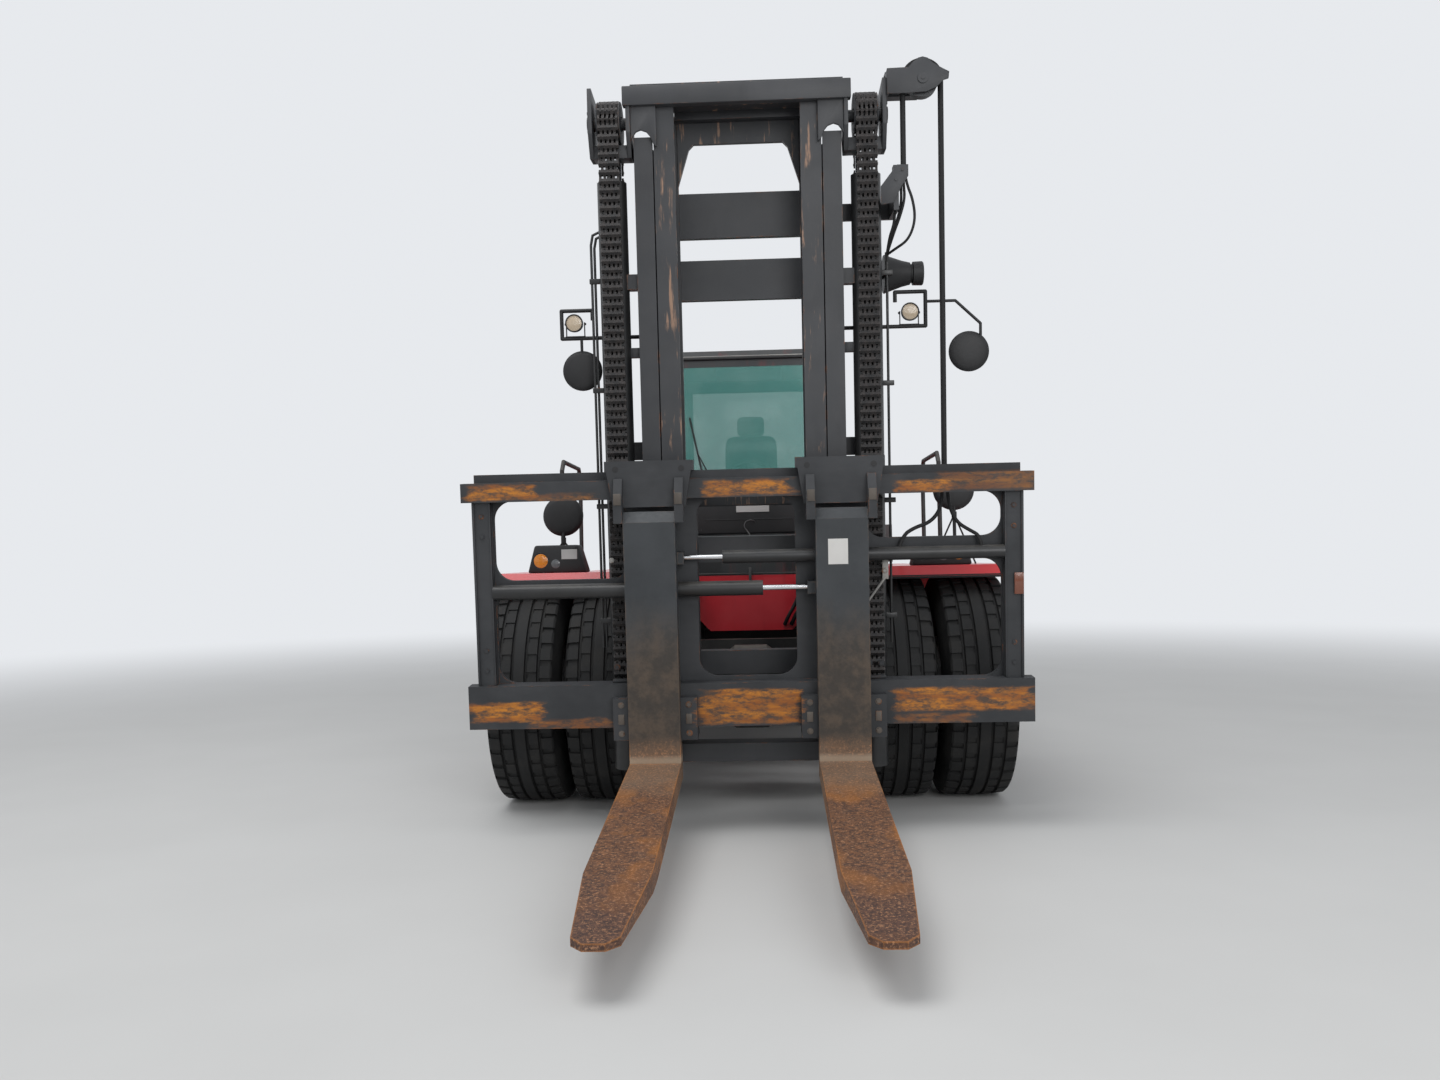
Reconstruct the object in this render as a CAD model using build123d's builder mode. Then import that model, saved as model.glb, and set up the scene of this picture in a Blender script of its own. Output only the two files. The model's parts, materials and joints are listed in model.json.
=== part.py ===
from build123d import *
from math import atan2, cos, degrees, hypot, radians, sin
import os

# Heavy forklift truck with twin drive wheels, a two-stage mast and side-shifting forks.
# Millimetres. X runs across the truck, Y from the fork tips to the counterweight, Z up from the floor.
# The mast and all it carries are drawn upright and are then leaned forward about the mast pivot.

# Tyres and wheels
TYRE_RADIUS = 746.5
TYRE_WIDTH = 478
TYRE_SIDES = 48
BEAD_RADIUS = 322
RIM_SEAT = 0.3
RIM_WALL = 18
RIM_LIP = 34
TWIN_PITCH = 508
TWIN_CENTRE_X = 1210
HUB_RADIUS = 190
SPINDLE_RADIUS = 85
RUNNING_FIT = 0.05
SEAT_GAP = 0.3
SLIDE_GAP = 5

# Chassis lengths, from the drive axle
WHEELBASE = 4500
REAR_OVERHANG = 1150
LOAD_DISTANCE = 1250
PIVOT_AHEAD = 350
PIVOT_Z = 550
PIVOT_RADIUS = 60

# Mast
REST_TILT = 5
MAST_DEPTH = 300
MAST_SETBACK = 300
OUTER_FACE_X = 607
OUTER_WIDTH = 110
INNER_GAP_X = 368
INNER_WIDTH = 122
CHANNEL_WALL = 30
INNER_WALL = 28
OUTER_BOTTOM_Z = 380
OUTER_TOP_Z = 4173
INNER_BOTTOM_Z = 620
INNER_TOP_Z = 4477
TOP_BEAM_HEIGHT = 110
ARCH_Z = 4196
ROLLER_GAP = 0.3

# Lift cylinders, chains and hoses
LIFT_X = 750
LIFT_SETBACK = 367.5
LIFT_RADIUS = 87.5
LIFT_ROD_RADIUS = 60
LIFT_TOP_Z = 3930
PULLEY_Z = 4271
CHAIN_RADIUS = 110
CHAIN_WIDTH = 118
CHAIN_DEPTH = 36
CHAIN_ANCHOR_Z = 960
REAR_ANCHOR_Z = 2400
SHEAVE_X = 1071
SHEAVE_Z = 4430
SHEAVE_RADIUS = 109
HOSE_SETBACK = 290
HOSE_RADIUS = 14
HOSE_CLAMP_Z = 3955
HOSE_BRACKET_Z = 2210

# Carriage
CARRIAGE_HALF_WIDTH = 1665
PLATE_HALF_WIDTH = 1606
POST_X = 1500
WEB_X = 650
BAR_FRONT = 115
BAR_DEPTH = 90
PLATE_DEPTH = 30
LOWER_BAR_Z = (714, 972)
UPPER_BAR_Z = (2063, 2175)
PLATE_TOP_Z = 2224
STILE_X = (300, 340)
STILE_DEPTH = 295
WINDOW_CORNER = 110
CYLINDER_SETBACK = 160

# Forks
FORK_X = 552
FORK_LENGTH = 2400
FORK_WIDTH = 300
FORK_THICKNESS = 110
FORK_TIP_THICKNESS = 30
FORK_TIP_WIDTH = 190
FORK_TOP_Z = 522
SHANK_TOP_Z = 1992
HANGER_WIDTH = 510
HANGER_TOP_Z = 2285

# Tilt cylinders
TILT_X = 550
TILT_BASE_BEHIND = 1150
TILT_BASE_Z = 1200
TILT_EAR_SETBACK = 680
TILT_EAR_Z = 1550
TILT_BARREL_RADIUS = 75
TILT_ROD_RADIUS = 36
TILT_BARREL_LENGTH = 1180

# Steering
KINGPIN_X = 930
STEER_WHEEL_OFFSET = 270
KINGPIN_RADIUS = 40
KNUCKLE_RADIUS = 80
STEER_ARM = 150
STEER_ROD_RADIUS = 28
STEER_ROD_Z = 705

# Frame and body
FRAME_X = (400, 460)
FRAME_TOP_Z = 1500
REAR_FRAME_X = 320
DECK_THICKNESS = 40
TANK_X = (660, 1500)
TANK_FRONT = 985
CAB_HALF_WIDTH = 800
CAB_FRONT = 2150
CAB_LENGTH = 1700
CAB_BOTTOM_Z = 1620
CAB_FLOOR_Z = 1750
CAB_TOP_Z = 3520
CAB_WALL = 50
HOUSING_HALF_WIDTH = 600
HOUSING_FRONT = CAB_FRONT + CAB_LENGTH + 70
HOUSING_REAR = WHEELBASE + 880
LID_REAR = HOUSING_REAR - 360
RADIATOR_FRONT = HOUSING_REAR - 330
LID_Z = (2100, 2420)
COUNTERWEIGHT_HALF_WIDTH = 1450
COUNTERWEIGHT_TOP_Z = 1950
WHEEL_SWING = 910

# Where the axles, the fork face and the mast pivot lie
TILT_COS, TILT_SIN = cos(radians(REST_TILT)), sin(radians(REST_TILT))
TIP_REACH = (
    PIVOT_AHEAD
    + (LOAD_DISTANCE - PIVOT_AHEAD + FORK_LENGTH) * TILT_COS
    + (FORK_TOP_Z - PIVOT_Z) * TILT_SIN
)
DRIVE_Y = (TIP_REACH - WHEELBASE - REAR_OVERHANG) / 2
STEER_Y = DRIVE_Y + WHEELBASE
REAR_Y = STEER_Y + REAR_OVERHANG
FORK_FACE_Y = DRIVE_Y - LOAD_DISTANCE
PIVOT_Y = DRIVE_Y - PIVOT_AHEAD
MAST_FRONT_Y = FORK_FACE_Y + MAST_SETBACK
MAST_REAR_Y = MAST_FRONT_Y + MAST_DEPTH
MAST_MIDDLE_Y = MAST_FRONT_Y + MAST_DEPTH / 2
BAR_Y = FORK_FACE_Y + BAR_FRONT
PLATE_Y = BAR_Y + BAR_DEPTH
PLATE_REAR_Y = PLATE_Y + PLATE_DEPTH
LIFT_Y = FORK_FACE_Y + LIFT_SETBACK
CHAIN_FRONT_Y = LIFT_Y - CHAIN_RADIUS
CHAIN_REAR_Y = LIFT_Y + CHAIN_RADIUS
HOSE_Y = FORK_FACE_Y + HOSE_SETBACK
CYLINDER_Y = FORK_FACE_Y + CYLINDER_SETBACK
OUTER_INNER_X = OUTER_FACE_X - OUTER_WIDTH
INNER_FACE_X = INNER_GAP_X + INNER_WIDTH
TILT_AXIS = Axis((0, PIVOT_Y, PIVOT_Z), (1, 0, 0))
CAB_FRONT_Y = DRIVE_Y + CAB_FRONT
CAB_REAR_Y = CAB_FRONT_Y + CAB_LENGTH
DECK_TOP_Z = FRAME_TOP_Z + DECK_THICKNESS

pieces = {}


def block(x, y, z, mode=Mode.ADD):
    """A block between the low and high values given for each direction."""
    middle = [(low + high) / 2 for low, high in (x, y, z)]
    size = [abs(high - low) for low, high in (x, y, z)]
    with Locations(tuple(middle)):
        Box(*size, mode=mode)


def rod(start, end, radius, mode=Mode.ADD):
    """A round bar from one point to another."""
    axis = Vector(*end) - Vector(*start)
    with Locations(Plane(origin=start, z_dir=axis).location):
        Cylinder(radius, axis.length, align=(Align.CENTER, Align.CENTER, Align.MIN), mode=mode)


def mitred(points, size, square=False):
    """A tube or square bar along straight runs that meet in mitred corners."""
    with BuildLine() as path:
        Polyline(*points)
    with BuildSketch(Plane(origin=path.line @ 0, z_dir=path.line % 0)) as section:
        if square:
            Rectangle(2 * size, 2 * size)
        else:
            Circle(size)
    sweep(section.sketch, path=path.line, transition=Transition.RIGHT)


def side_plate(points, x, mode=Mode.ADD):
    """A plate cut to an outline of (y, z) points, between two X values."""
    with BuildSketch(Plane.YZ.offset(x[0])) as outline:
        with BuildLine():
            Polyline(*points, close=True)
        make_face()
    extrude(outline.sketch, amount=x[1] - x[0], mode=mode)


def front_plate(points, y, mode=Mode.ADD):
    """A plate cut to an outline of (x, z) points, between two Y values."""
    with BuildSketch(Plane.XZ.offset(-y[0])) as outline:
        with BuildLine():
            Polyline(*points, close=True)
        make_face()
    extrude(outline.sketch, amount=y[0] - y[1], mode=mode)


def both(x):
    """The same span of X on the left and on the right."""
    return [(-x[1], -x[0]), x]


def turned(outline, axle_y, axle_z=TYRE_RADIUS):
    """A ring or shaft turned about an axle that runs across the truck, from (x, radius) points."""
    with BuildSketch(Plane(origin=(0, axle_y, axle_z), x_dir=(1, 0, 0), z_dir=(0, -1, 0))) as section:
        with BuildLine():
            Polyline(*outline, close=True)
        make_face()
    revolve(section.sketch, axis=Axis((0, axle_y, axle_z), (1, 0, 0)))


def leaned(part):
    """A mast piece, leaned forward about the pivot as the truck is parked."""
    return part.rotate(TILT_AXIS, REST_TILT)


SIDEWALL_RADIUS = 560
SHOULDER_RADIUS = 728
BEAD_HALF = 0.35 * TYRE_WIDTH
tyre_sections = [
    # distance from the tyre's middle, radius
    (TYRE_WIDTH / 2, SIDEWALL_RADIUS),
    (TYRE_WIDTH / 2 - 32, SHOULDER_RADIUS),
    (TYRE_WIDTH / 2 - 97, TYRE_RADIUS),
]


def faceted(sections, x, axle_y, mode=Mode.ADD):
    """A many-sided ring about an axle, with one flat side down, from (distance, radius) sections."""
    outlines = []
    for distance, radius in sections:
        plane = Plane(origin=(x + distance, axle_y, TYRE_RADIUS), x_dir=(0, 1, 0), z_dir=(1, 0, 0))
        with BuildSketch(plane) as outline:
            RegularPolygon(radius, TYRE_SIDES, major_radius=False, rotation=180 / TYRE_SIDES)
        outlines.append(outline.sketch)
    loft(outlines, ruled=True, mode=mode)


def tyre(x, axle_y):
    """A tyre with a flat tread, round shoulders, dished sidewalls and an open bore."""
    near = [(-distance, radius) for distance, radius in tyre_sections]
    faceted(near + tyre_sections[::-1], x, axle_y)
    for side in (-1, 1):
        dish = [(side * BEAD_HALF, BEAD_RADIUS), (side * TYRE_WIDTH / 2, SIDEWALL_RADIUS - 20)]
        faceted(dish[::side], x, axle_y, Mode.SUBTRACT)
    bore = [(-BEAD_HALF, BEAD_RADIUS), (BEAD_HALF, BEAD_RADIUS)]
    faceted(bore, x, axle_y, Mode.SUBTRACT)


# Drive wheels: two tyres and one long rim each, on a planetary hub
RIM_RADIUS = BEAD_RADIUS - RIM_SEAT
HUB_INNER_X = TWIN_CENTRE_X - 165
DISC_X = (TWIN_CENTRE_X - 15, TWIN_CENTRE_X + 15)
RIM_REACH = TWIN_PITCH / 2 + 0.46 * TYRE_WIDTH
RIM_SPAN = (TWIN_CENTRE_X - RIM_REACH, TWIN_CENTRE_X + RIM_REACH + 5)
for name, side in (("left", -1), ("right", 1)):
    with BuildPart() as drive_tyres:
        for centre in (TWIN_CENTRE_X - TWIN_PITCH / 2, TWIN_CENTRE_X + TWIN_PITCH / 2):
            tyre(side * centre, DRIVE_Y)
    pieces[f"drive_tyres_{name}"] = drive_tyres.part
    bore = SPINDLE_RADIUS + RUNNING_FIT
    rim_outline = [
        (HUB_INNER_X + SEAT_GAP, bore),
        (HUB_INNER_X + SEAT_GAP, HUB_RADIUS),
        (DISC_X[0], HUB_RADIUS),
        (DISC_X[0], RIM_RADIUS - RIM_WALL),
        (RIM_SPAN[0], RIM_RADIUS - RIM_WALL),
        (RIM_SPAN[0], RIM_RADIUS),
        (RIM_SPAN[1] - 22, RIM_RADIUS),
        (RIM_SPAN[1] - 22, RIM_RADIUS + RIM_LIP),
        (RIM_SPAN[1], RIM_RADIUS + RIM_LIP),
        (RIM_SPAN[1], RIM_RADIUS - RIM_WALL),
        (DISC_X[1], RIM_RADIUS - RIM_WALL),
        (DISC_X[1], HUB_RADIUS),
        (RIM_SPAN[1] - 130, HUB_RADIUS),
        (RIM_SPAN[1] - 130, 130),
        (RIM_SPAN[1] - 80, 130),
        (RIM_SPAN[1] - 80, 0),
        (HUB_INNER_X + 125, 0),
        (HUB_INNER_X + 125, bore),
    ]
    with BuildPart() as drive_rim:
        turned([(side * x, r) for x, r in rim_outline], DRIVE_Y)
    pieces[f"drive_rim_{name}"] = drive_rim.part

# Drive axle: differential bowl, tapering tubes, brake drums and the spindles the hubs run on
AXLE_TUBE_RADIUS = 165
axle_half = [
    # x, radius
    (110, 285),
    (270, AXLE_TUBE_RADIUS),
    (700, AXLE_TUBE_RADIUS),
    (700, 268),
    (HUB_INNER_X - 20, 268),
    (HUB_INNER_X - 20, 180),
    (HUB_INNER_X, 180),
    (HUB_INNER_X, SPINDLE_RADIUS),
    (HUB_INNER_X + 120, SPINDLE_RADIUS),
    (HUB_INNER_X + 120, 0),
]
AXLE_PAD_Z = 950
with BuildPart() as drive_axle:
    turned([(-x, r) for x, r in reversed(axle_half)] + axle_half, DRIVE_Y)
    for x in both((380, 480)):
        block(x, (DRIVE_Y - 150, DRIVE_Y + 150), (TYRE_RADIUS, AXLE_PAD_Z))
pieces["drive_axle"] = drive_axle.part

# Chassis frame: two side plates over the drive axle, a narrow rear box and the tank outriggers
TILT_BASE_Y = DRIVE_Y + TILT_BASE_BEHIND
FRAME_END = WHEELBASE - 1100
frame_side = [
    # y from the drive axle, z
    (-480, 440),
    (-240, 440),
    (-200, AXLE_PAD_Z),
    (200, AXLE_PAD_Z),
    (300, 720),
    (FRAME_END - 300, 720),
    (FRAME_END, 1000),
    (FRAME_END, FRAME_TOP_Z),
    (-60, FRAME_TOP_Z),
    (-480, 900),
]
STEER_BEAM_Z = (600, 893)
with BuildPart() as chassis_frame:
    for x in both(FRAME_X):
        side_plate([(DRIVE_Y + y, z) for y, z in frame_side], x)
    for y in (420, 1500, 2600):
        block((-FRAME_X[0], FRAME_X[0]), (DRIVE_Y + y, DRIVE_Y + y + 60), (760, 1040))
    block(
        (-FRAME_X[1], FRAME_X[1]), (DRIVE_Y + FRAME_END - 60, DRIVE_Y + FRAME_END), (1000, FRAME_TOP_Z)
    )
    block(
        (-REAR_FRAME_X, REAR_FRAME_X),
        (DRIVE_Y + FRAME_END, STEER_Y + 420),
        (1000, FRAME_TOP_Z),
    )
    block((-200, 200), (STEER_Y - 130, STEER_Y + 90), (STEER_BEAM_Z[1], 1000))
    for x in both((FRAME_X[1], TANK_X[0])):
        for y in (1500, 3000):
            block(x, (DRIVE_Y + y, DRIVE_Y + y + 120), (900, 1200))
    for side in (-1, 1):
        rod((side * FRAME_X[0], PIVOT_Y, PIVOT_Z), (side * 625, PIVOT_Y, PIVOT_Z), PIVOT_RADIUS)
        rod(
            (side * FRAME_X[0], TILT_BASE_Y, TILT_BASE_Z),
            (side * 640, TILT_BASE_Y, TILT_BASE_Z),
            35,
        )
pieces["chassis_frame"] = chassis_frame.part

# Steer axle: a box beam with a forked end at each kingpin
YOKE_Z = (530, 963)
KNUCKLE_Z = (STEER_BEAM_Z[0] + 15, STEER_BEAM_Z[1] - 15)
ARM_Z = (640, 668)
with BuildPart() as steer_axle:
    with BuildSketch(Plane.XZ.offset(-(STEER_Y - 130))):
        with BuildLine():
            Polyline(
                (-860, YOKE_Z[0]), (-560, STEER_BEAM_Z[0]), (560, STEER_BEAM_Z[0]),
                (860, YOKE_Z[0]), (860, YOKE_Z[1]), (560, STEER_BEAM_Z[1]),
                (-560, STEER_BEAM_Z[1]), (-860, YOKE_Z[1]), close=True,
            )
        make_face()
    extrude(amount=-220)
    for side in (-1, 1):
        x = side * KINGPIN_X
        for low, high in ((YOKE_Z[0], KNUCKLE_Z[0]), (KNUCKLE_Z[1], YOKE_Z[1])):
            block((side * 820, x), (STEER_Y - 80, STEER_Y + 80), (low, high))
            rod((x, STEER_Y, low), (x, STEER_Y, high), 80)
        block(
            (side * 835, side * 861),
            (STEER_Y - 131, STEER_Y + 91),
            (KNUCKLE_Z[0], KNUCKLE_Z[1]),
            mode=Mode.SUBTRACT,
        )
        block(
            (side * 750, side * 861),
            (STEER_Y + 10, STEER_Y + 91),
            (ARM_Z[0] - 12, ARM_Z[1] + 12),
            mode=Mode.SUBTRACT,
        )
        rod((x, STEER_Y, YOKE_Z[0]), (x, STEER_Y, YOKE_Z[1]), KINGPIN_RADIUS)
pieces["steer_axle"] = steer_axle.part

# Knuckles: a sleeve on the kingpin, a spindle and a steering arm, with a single wheel on each
STEER_HUB_X = 120
STEER_RIM = (STEER_WHEEL_OFFSET - 0.46 * TYRE_WIDTH, STEER_WHEEL_OFFSET + 0.46 * TYRE_WIDTH)
for name, side in (("left", -1), ("right", 1)):
    x = side * KINGPIN_X
    with BuildPart() as knuckle:
        rod(
            (x, STEER_Y, KNUCKLE_Z[0] + SEAT_GAP),
            (x, STEER_Y, KNUCKLE_Z[1] - SEAT_GAP),
            KNUCKLE_RADIUS,
        )
        rod((x, STEER_Y, TYRE_RADIUS), (x + side * STEER_HUB_X, STEER_Y, TYRE_RADIUS), 95)
        rod((x, STEER_Y, TYRE_RADIUS), (x + side * 345, STEER_Y, TYRE_RADIUS), 60)
        block((x - 35, x + 35), (STEER_Y, STEER_Y + STEER_ARM), ARM_Z)
        rod((x, STEER_Y + STEER_ARM, ARM_Z[0]), (x, STEER_Y + STEER_ARM, ARM_Z[1]), 40)
        rod(
            (x, STEER_Y, KNUCKLE_Z[0]),
            (x, STEER_Y, KNUCKLE_Z[1]),
            KINGPIN_RADIUS + RUNNING_FIT,
            mode=Mode.SUBTRACT,
        )
    pieces[f"knuckle_{name}"] = knuckle.part
    wheel_x = side * (KINGPIN_X + STEER_WHEEL_OFFSET)
    with BuildPart() as steer_tyre:
        tyre(wheel_x, STEER_Y)
    pieces[f"steer_tyre_{name}"] = steer_tyre.part
    hub_outline = [
        # x from the kingpin, radius
        (STEER_HUB_X + SEAT_GAP, 60 + RUNNING_FIT),
        (STEER_HUB_X + SEAT_GAP, 120),
        (300, 120),
        (300, RIM_RADIUS - RIM_WALL),
        (STEER_RIM[0], RIM_RADIUS - RIM_WALL),
        (STEER_RIM[0], RIM_RADIUS),
        (STEER_RIM[1] - 22, RIM_RADIUS),
        (STEER_RIM[1] - 22, RIM_RADIUS + RIM_LIP),
        (STEER_RIM[1], RIM_RADIUS + RIM_LIP),
        (STEER_RIM[1], RIM_RADIUS - RIM_WALL),
        (325, RIM_RADIUS - RIM_WALL),
        (325, 120),
        (390, 120),
        (390, 0),
        (350, 0),
        (350, 60 + RUNNING_FIT),
    ]
    with BuildPart() as steer_rim:
        turned([(side * (KINGPIN_X + x), r) for x, r in hub_outline], STEER_Y)
    pieces[f"steer_rim_{name}"] = steer_rim.part

# Steering cylinder behind the axle beam, with one rod that reaches both arms
STEER_ROD_Y = STEER_Y + STEER_ARM
with BuildPart() as steering_cylinder:
    rod((-330, STEER_ROD_Y, STEER_ROD_Z), (330, STEER_ROD_Y, STEER_ROD_Z), 50)
    for x in both((200, 260)):
        block(x, (STEER_Y + 90, STEER_ROD_Y), (STEER_ROD_Z - 60, STEER_ROD_Z + 60))
    rod(
        (-330, STEER_ROD_Y, STEER_ROD_Z),
        (330, STEER_ROD_Y, STEER_ROD_Z),
        STEER_ROD_RADIUS + RUNNING_FIT,
        mode=Mode.SUBTRACT,
    )
pieces["steering_cylinder"] = steering_cylinder.part
with BuildPart() as steering_rod:
    rod(
        (-KINGPIN_X, STEER_ROD_Y, STEER_ROD_Z),
        (KINGPIN_X, STEER_ROD_Y, STEER_ROD_Z),
        STEER_ROD_RADIUS,
    )
    for x in (-KINGPIN_X, KINGPIN_X):
        rod((x, STEER_ROD_Y, STEER_ROD_Z - 30), (x, STEER_ROD_Y, STEER_ROD_Z + 30), 40)
pieces["steering_rod"] = steering_rod.part

# Counterweight: rounded in plan, cut away over the swing of the steered wheels
COUNTERWEIGHT_FRONT = WHEELBASE - 540
TOW_PIN_Y = REAR_Y - 90
TOW_PIN_RADIUS = 26
TOW_JAW_Z = (700, 860)
TOW_HATCH_Z = (925, 1260)
COUNTERWEIGHT_BOTTOM_Z = 480
EYE_X = 1000
EYE_Y = STEER_Y + 300
EYE_RADIUS = 18
EYE_DEPTH = 80
ARCH_CUT_Z = (COUNTERWEIGHT_BOTTOM_Z - 1, 1560)
with BuildPart() as counterweight:
    with BuildSketch(Plane.XY.offset(COUNTERWEIGHT_BOTTOM_Z)) as plan:
        with BuildLine():
            Polyline(
                (-COUNTERWEIGHT_HALF_WIDTH, DRIVE_Y + COUNTERWEIGHT_FRONT),
                (COUNTERWEIGHT_HALF_WIDTH, DRIVE_Y + COUNTERWEIGHT_FRONT),
                (COUNTERWEIGHT_HALF_WIDTH, REAR_Y),
                (-COUNTERWEIGHT_HALF_WIDTH, REAR_Y),
                close=True,
            )
        make_face()
        fillet(plan.vertices().group_by(Axis.Y)[-1], 420)
    extrude(amount=COUNTERWEIGHT_TOP_Z - COUNTERWEIGHT_BOTTOM_Z)
    for side in (-1, 1):
        rod((side * KINGPIN_X, STEER_Y, ARCH_CUT_Z[0]), (side * KINGPIN_X, STEER_Y, ARCH_CUT_Z[1]),
            WHEEL_SWING, mode=Mode.SUBTRACT)
        block(
            (side * KINGPIN_X, side * (COUNTERWEIGHT_HALF_WIDTH + 10)),
            (DRIVE_Y + COUNTERWEIGHT_FRONT - 1, STEER_Y + 760),
            ARCH_CUT_Z,
            mode=Mode.SUBTRACT,
        )
    block(
        (-KINGPIN_X, KINGPIN_X),
        (DRIVE_Y + COUNTERWEIGHT_FRONT - 1, STEER_Y + 430),
        ARCH_CUT_Z,
        mode=Mode.SUBTRACT,
    )
    block(
        (-CAB_HALF_WIDTH - 40, CAB_HALF_WIDTH + 40),
        (DRIVE_Y + COUNTERWEIGHT_FRONT - 1, max(CAB_REAR_Y + 30, DRIVE_Y + COUNTERWEIGHT_FRONT)),
        (CAB_BOTTOM_Z - 70, COUNTERWEIGHT_TOP_Z + 1),
        mode=Mode.SUBTRACT,
    )
    block(
        (-HOUSING_HALF_WIDTH - 20, HOUSING_HALF_WIDTH + 20),
        (DRIVE_Y + COUNTERWEIGHT_FRONT - 1, DRIVE_Y + HOUSING_REAR + 20),
        (FRAME_TOP_Z, COUNTERWEIGHT_TOP_Z + 1),
        mode=Mode.SUBTRACT,
    )
    block(
        (-500, 500), (DRIVE_Y + HOUSING_REAR, REAR_Y + 1), (1600, COUNTERWEIGHT_TOP_Z + 1),
        mode=Mode.SUBTRACT,
    )
    for pocket in (TOW_JAW_Z, TOW_HATCH_Z):
        block((-110, 110), (REAR_Y - 220, REAR_Y + 1), pocket, mode=Mode.SUBTRACT)
    rod(
        (0, TOW_PIN_Y, COUNTERWEIGHT_BOTTOM_Z - 1), (0, TOW_PIN_Y, TOW_HATCH_Z[0] + 1),
        TOW_PIN_RADIUS, mode=Mode.SUBTRACT,
    )
    for x in (-EYE_X, EYE_X):
        rod(
            (x, EYE_Y, COUNTERWEIGHT_TOP_Z - EYE_DEPTH), (x, EYE_Y, COUNTERWEIGHT_TOP_Z + 1),
            EYE_RADIUS, mode=Mode.SUBTRACT,
        )
pieces["counterweight"] = counterweight.part

# Outer mast: two channels that open inwards, cross members, pivot lugs and tilt ears
PIVOT_LUG_X = (500, 600)
TILT_EAR_X = ((497, 508), (592, 607))
REAR_BEAM_DEPTH = 65
MAST_PLAY = 5.5
INNER_BEAM_DEPTH = 22


def upright(x_open, x_back, wall, z):
    """A channel that opens at x_open and has its web at x_back, on both sides of the mast."""
    for side in (-1, 1):
        block((side * x_open, side * x_back), (MAST_FRONT_Y, MAST_REAR_Y), z)
        block(
            (side * (x_open - 1), side * (x_back - wall)),
            (MAST_FRONT_Y + wall, MAST_REAR_Y - wall),
            (z[0] - 1, z[1] + 1),
            mode=Mode.SUBTRACT,
        )


with BuildPart() as outer_mast:
    upright(OUTER_INNER_X, OUTER_FACE_X, CHANNEL_WALL, (OUTER_BOTTOM_Z, OUTER_TOP_Z))
    block((-OUTER_INNER_X, OUTER_INNER_X), (MAST_REAR_Y - 110, MAST_REAR_Y), (399, 515))
    for low, high in ((3641, 3911), (3263, 3506), (1990, 2150), (1640, 1800), (930, 1080)):
        block(
            (-OUTER_FACE_X, OUTER_FACE_X),
            (MAST_REAR_Y, MAST_REAR_Y + REAR_BEAM_DEPTH),
            (low, high),
        )
        block(
            (-OUTER_INNER_X, OUTER_INNER_X),
            (MAST_REAR_Y - 1, MAST_REAR_Y + MAST_PLAY),
            (low - 1, high + 1),
            mode=Mode.SUBTRACT,
        )
    for x in both(PIVOT_LUG_X):
        side_plate(
            [
                (MAST_REAR_Y - 10, 400),
                (PIVOT_Y, PIVOT_Z - 110),
                (PIVOT_Y + 78, PIVOT_Z + 78),
                (MAST_REAR_Y - 10, 900),
            ],
            x,
        )
    for side in (-1, 1):
        low, high = (side * edge for edge in PIVOT_LUG_X)
        rod((low, PIVOT_Y, PIVOT_Z), (high, PIVOT_Y, PIVOT_Z), 110)
        rod((low, PIVOT_Y, PIVOT_Z), (high, PIVOT_Y, PIVOT_Z), PIVOT_RADIUS + RUNNING_FIT, Mode.SUBTRACT)
        ear_y = FORK_FACE_Y + TILT_EAR_SETBACK
        for x in TILT_EAR_X:
            block(
                (side * x[0], side * x[1]),
                (MAST_REAR_Y - 5, ear_y + 50),
                (TILT_EAR_Z - 60, TILT_EAR_Z + 60),
            )
        rod((side * TILT_EAR_X[0][0], ear_y, TILT_EAR_Z), (side * TILT_EAR_X[1][1], ear_y, TILT_EAR_Z), 28)
        block(
            (side * OUTER_FACE_X, side * (LIFT_X + 60)),
            (LIFT_Y + LIFT_RADIUS + 3, LIFT_Y + LIFT_RADIUS + 65),
            (REAR_ANCHOR_Z - 110, REAR_ANCHOR_Z),
        )
        for z in (OUTER_BOTTOM_Z + 20, 1500, 3300):
            block(
                (side * OUTER_FACE_X, side * (LIFT_X - LIFT_RADIUS + 20)),
                (LIFT_Y - 40, LIFT_Y + 40),
                (z, z + 90),
            )
        rod(
            (side * LIFT_X, LIFT_Y, OUTER_BOTTOM_Z),
            (side * LIFT_X, LIFT_Y, LIFT_TOP_Z),
            LIFT_RADIUS,
            mode=Mode.SUBTRACT,
        )
    # Hose clamp arm, from the right channel round the lift cylinder
    block((OUTER_FACE_X, 930), (MAST_REAR_Y - 90, MAST_REAR_Y - 60), (3700, 3800))
    block((900, 930), (HOSE_Y + 30, MAST_REAR_Y - 60), (3700, 3800))
    block((900, 930), (HOSE_Y - 34, HOSE_Y + 34), (3700, HOSE_CLAMP_Z))
    block((930, 985), (HOSE_Y - 34, HOSE_Y + 34), (HOSE_CLAMP_Z - 45, HOSE_CLAMP_Z))
pieces["outer_mast"] = leaned(outer_mast.part)

# Lift cylinder barrels, one beside each outer channel
with BuildPart() as lift_barrels:
    for x in (-LIFT_X, LIFT_X):
        rod((x, LIFT_Y, OUTER_BOTTOM_Z + 30), (x, LIFT_Y, LIFT_TOP_Z), LIFT_RADIUS)
        rod((x, LIFT_Y, 1700), (x, LIFT_Y, LIFT_TOP_Z + 1), LIFT_ROD_RADIUS + RUNNING_FIT, Mode.SUBTRACT)
pieces["lift_barrels"] = leaned(lift_barrels.part)

# Lift rods
YOKE_BASE_Z = 4060
with BuildPart() as lift_rods:
    for x in (-LIFT_X, LIFT_X):
        rod((x, LIFT_Y, 1900), (x, LIFT_Y, YOKE_BASE_Z), LIFT_ROD_RADIUS)
pieces["lift_rods"] = leaned(lift_rods.part)

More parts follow.
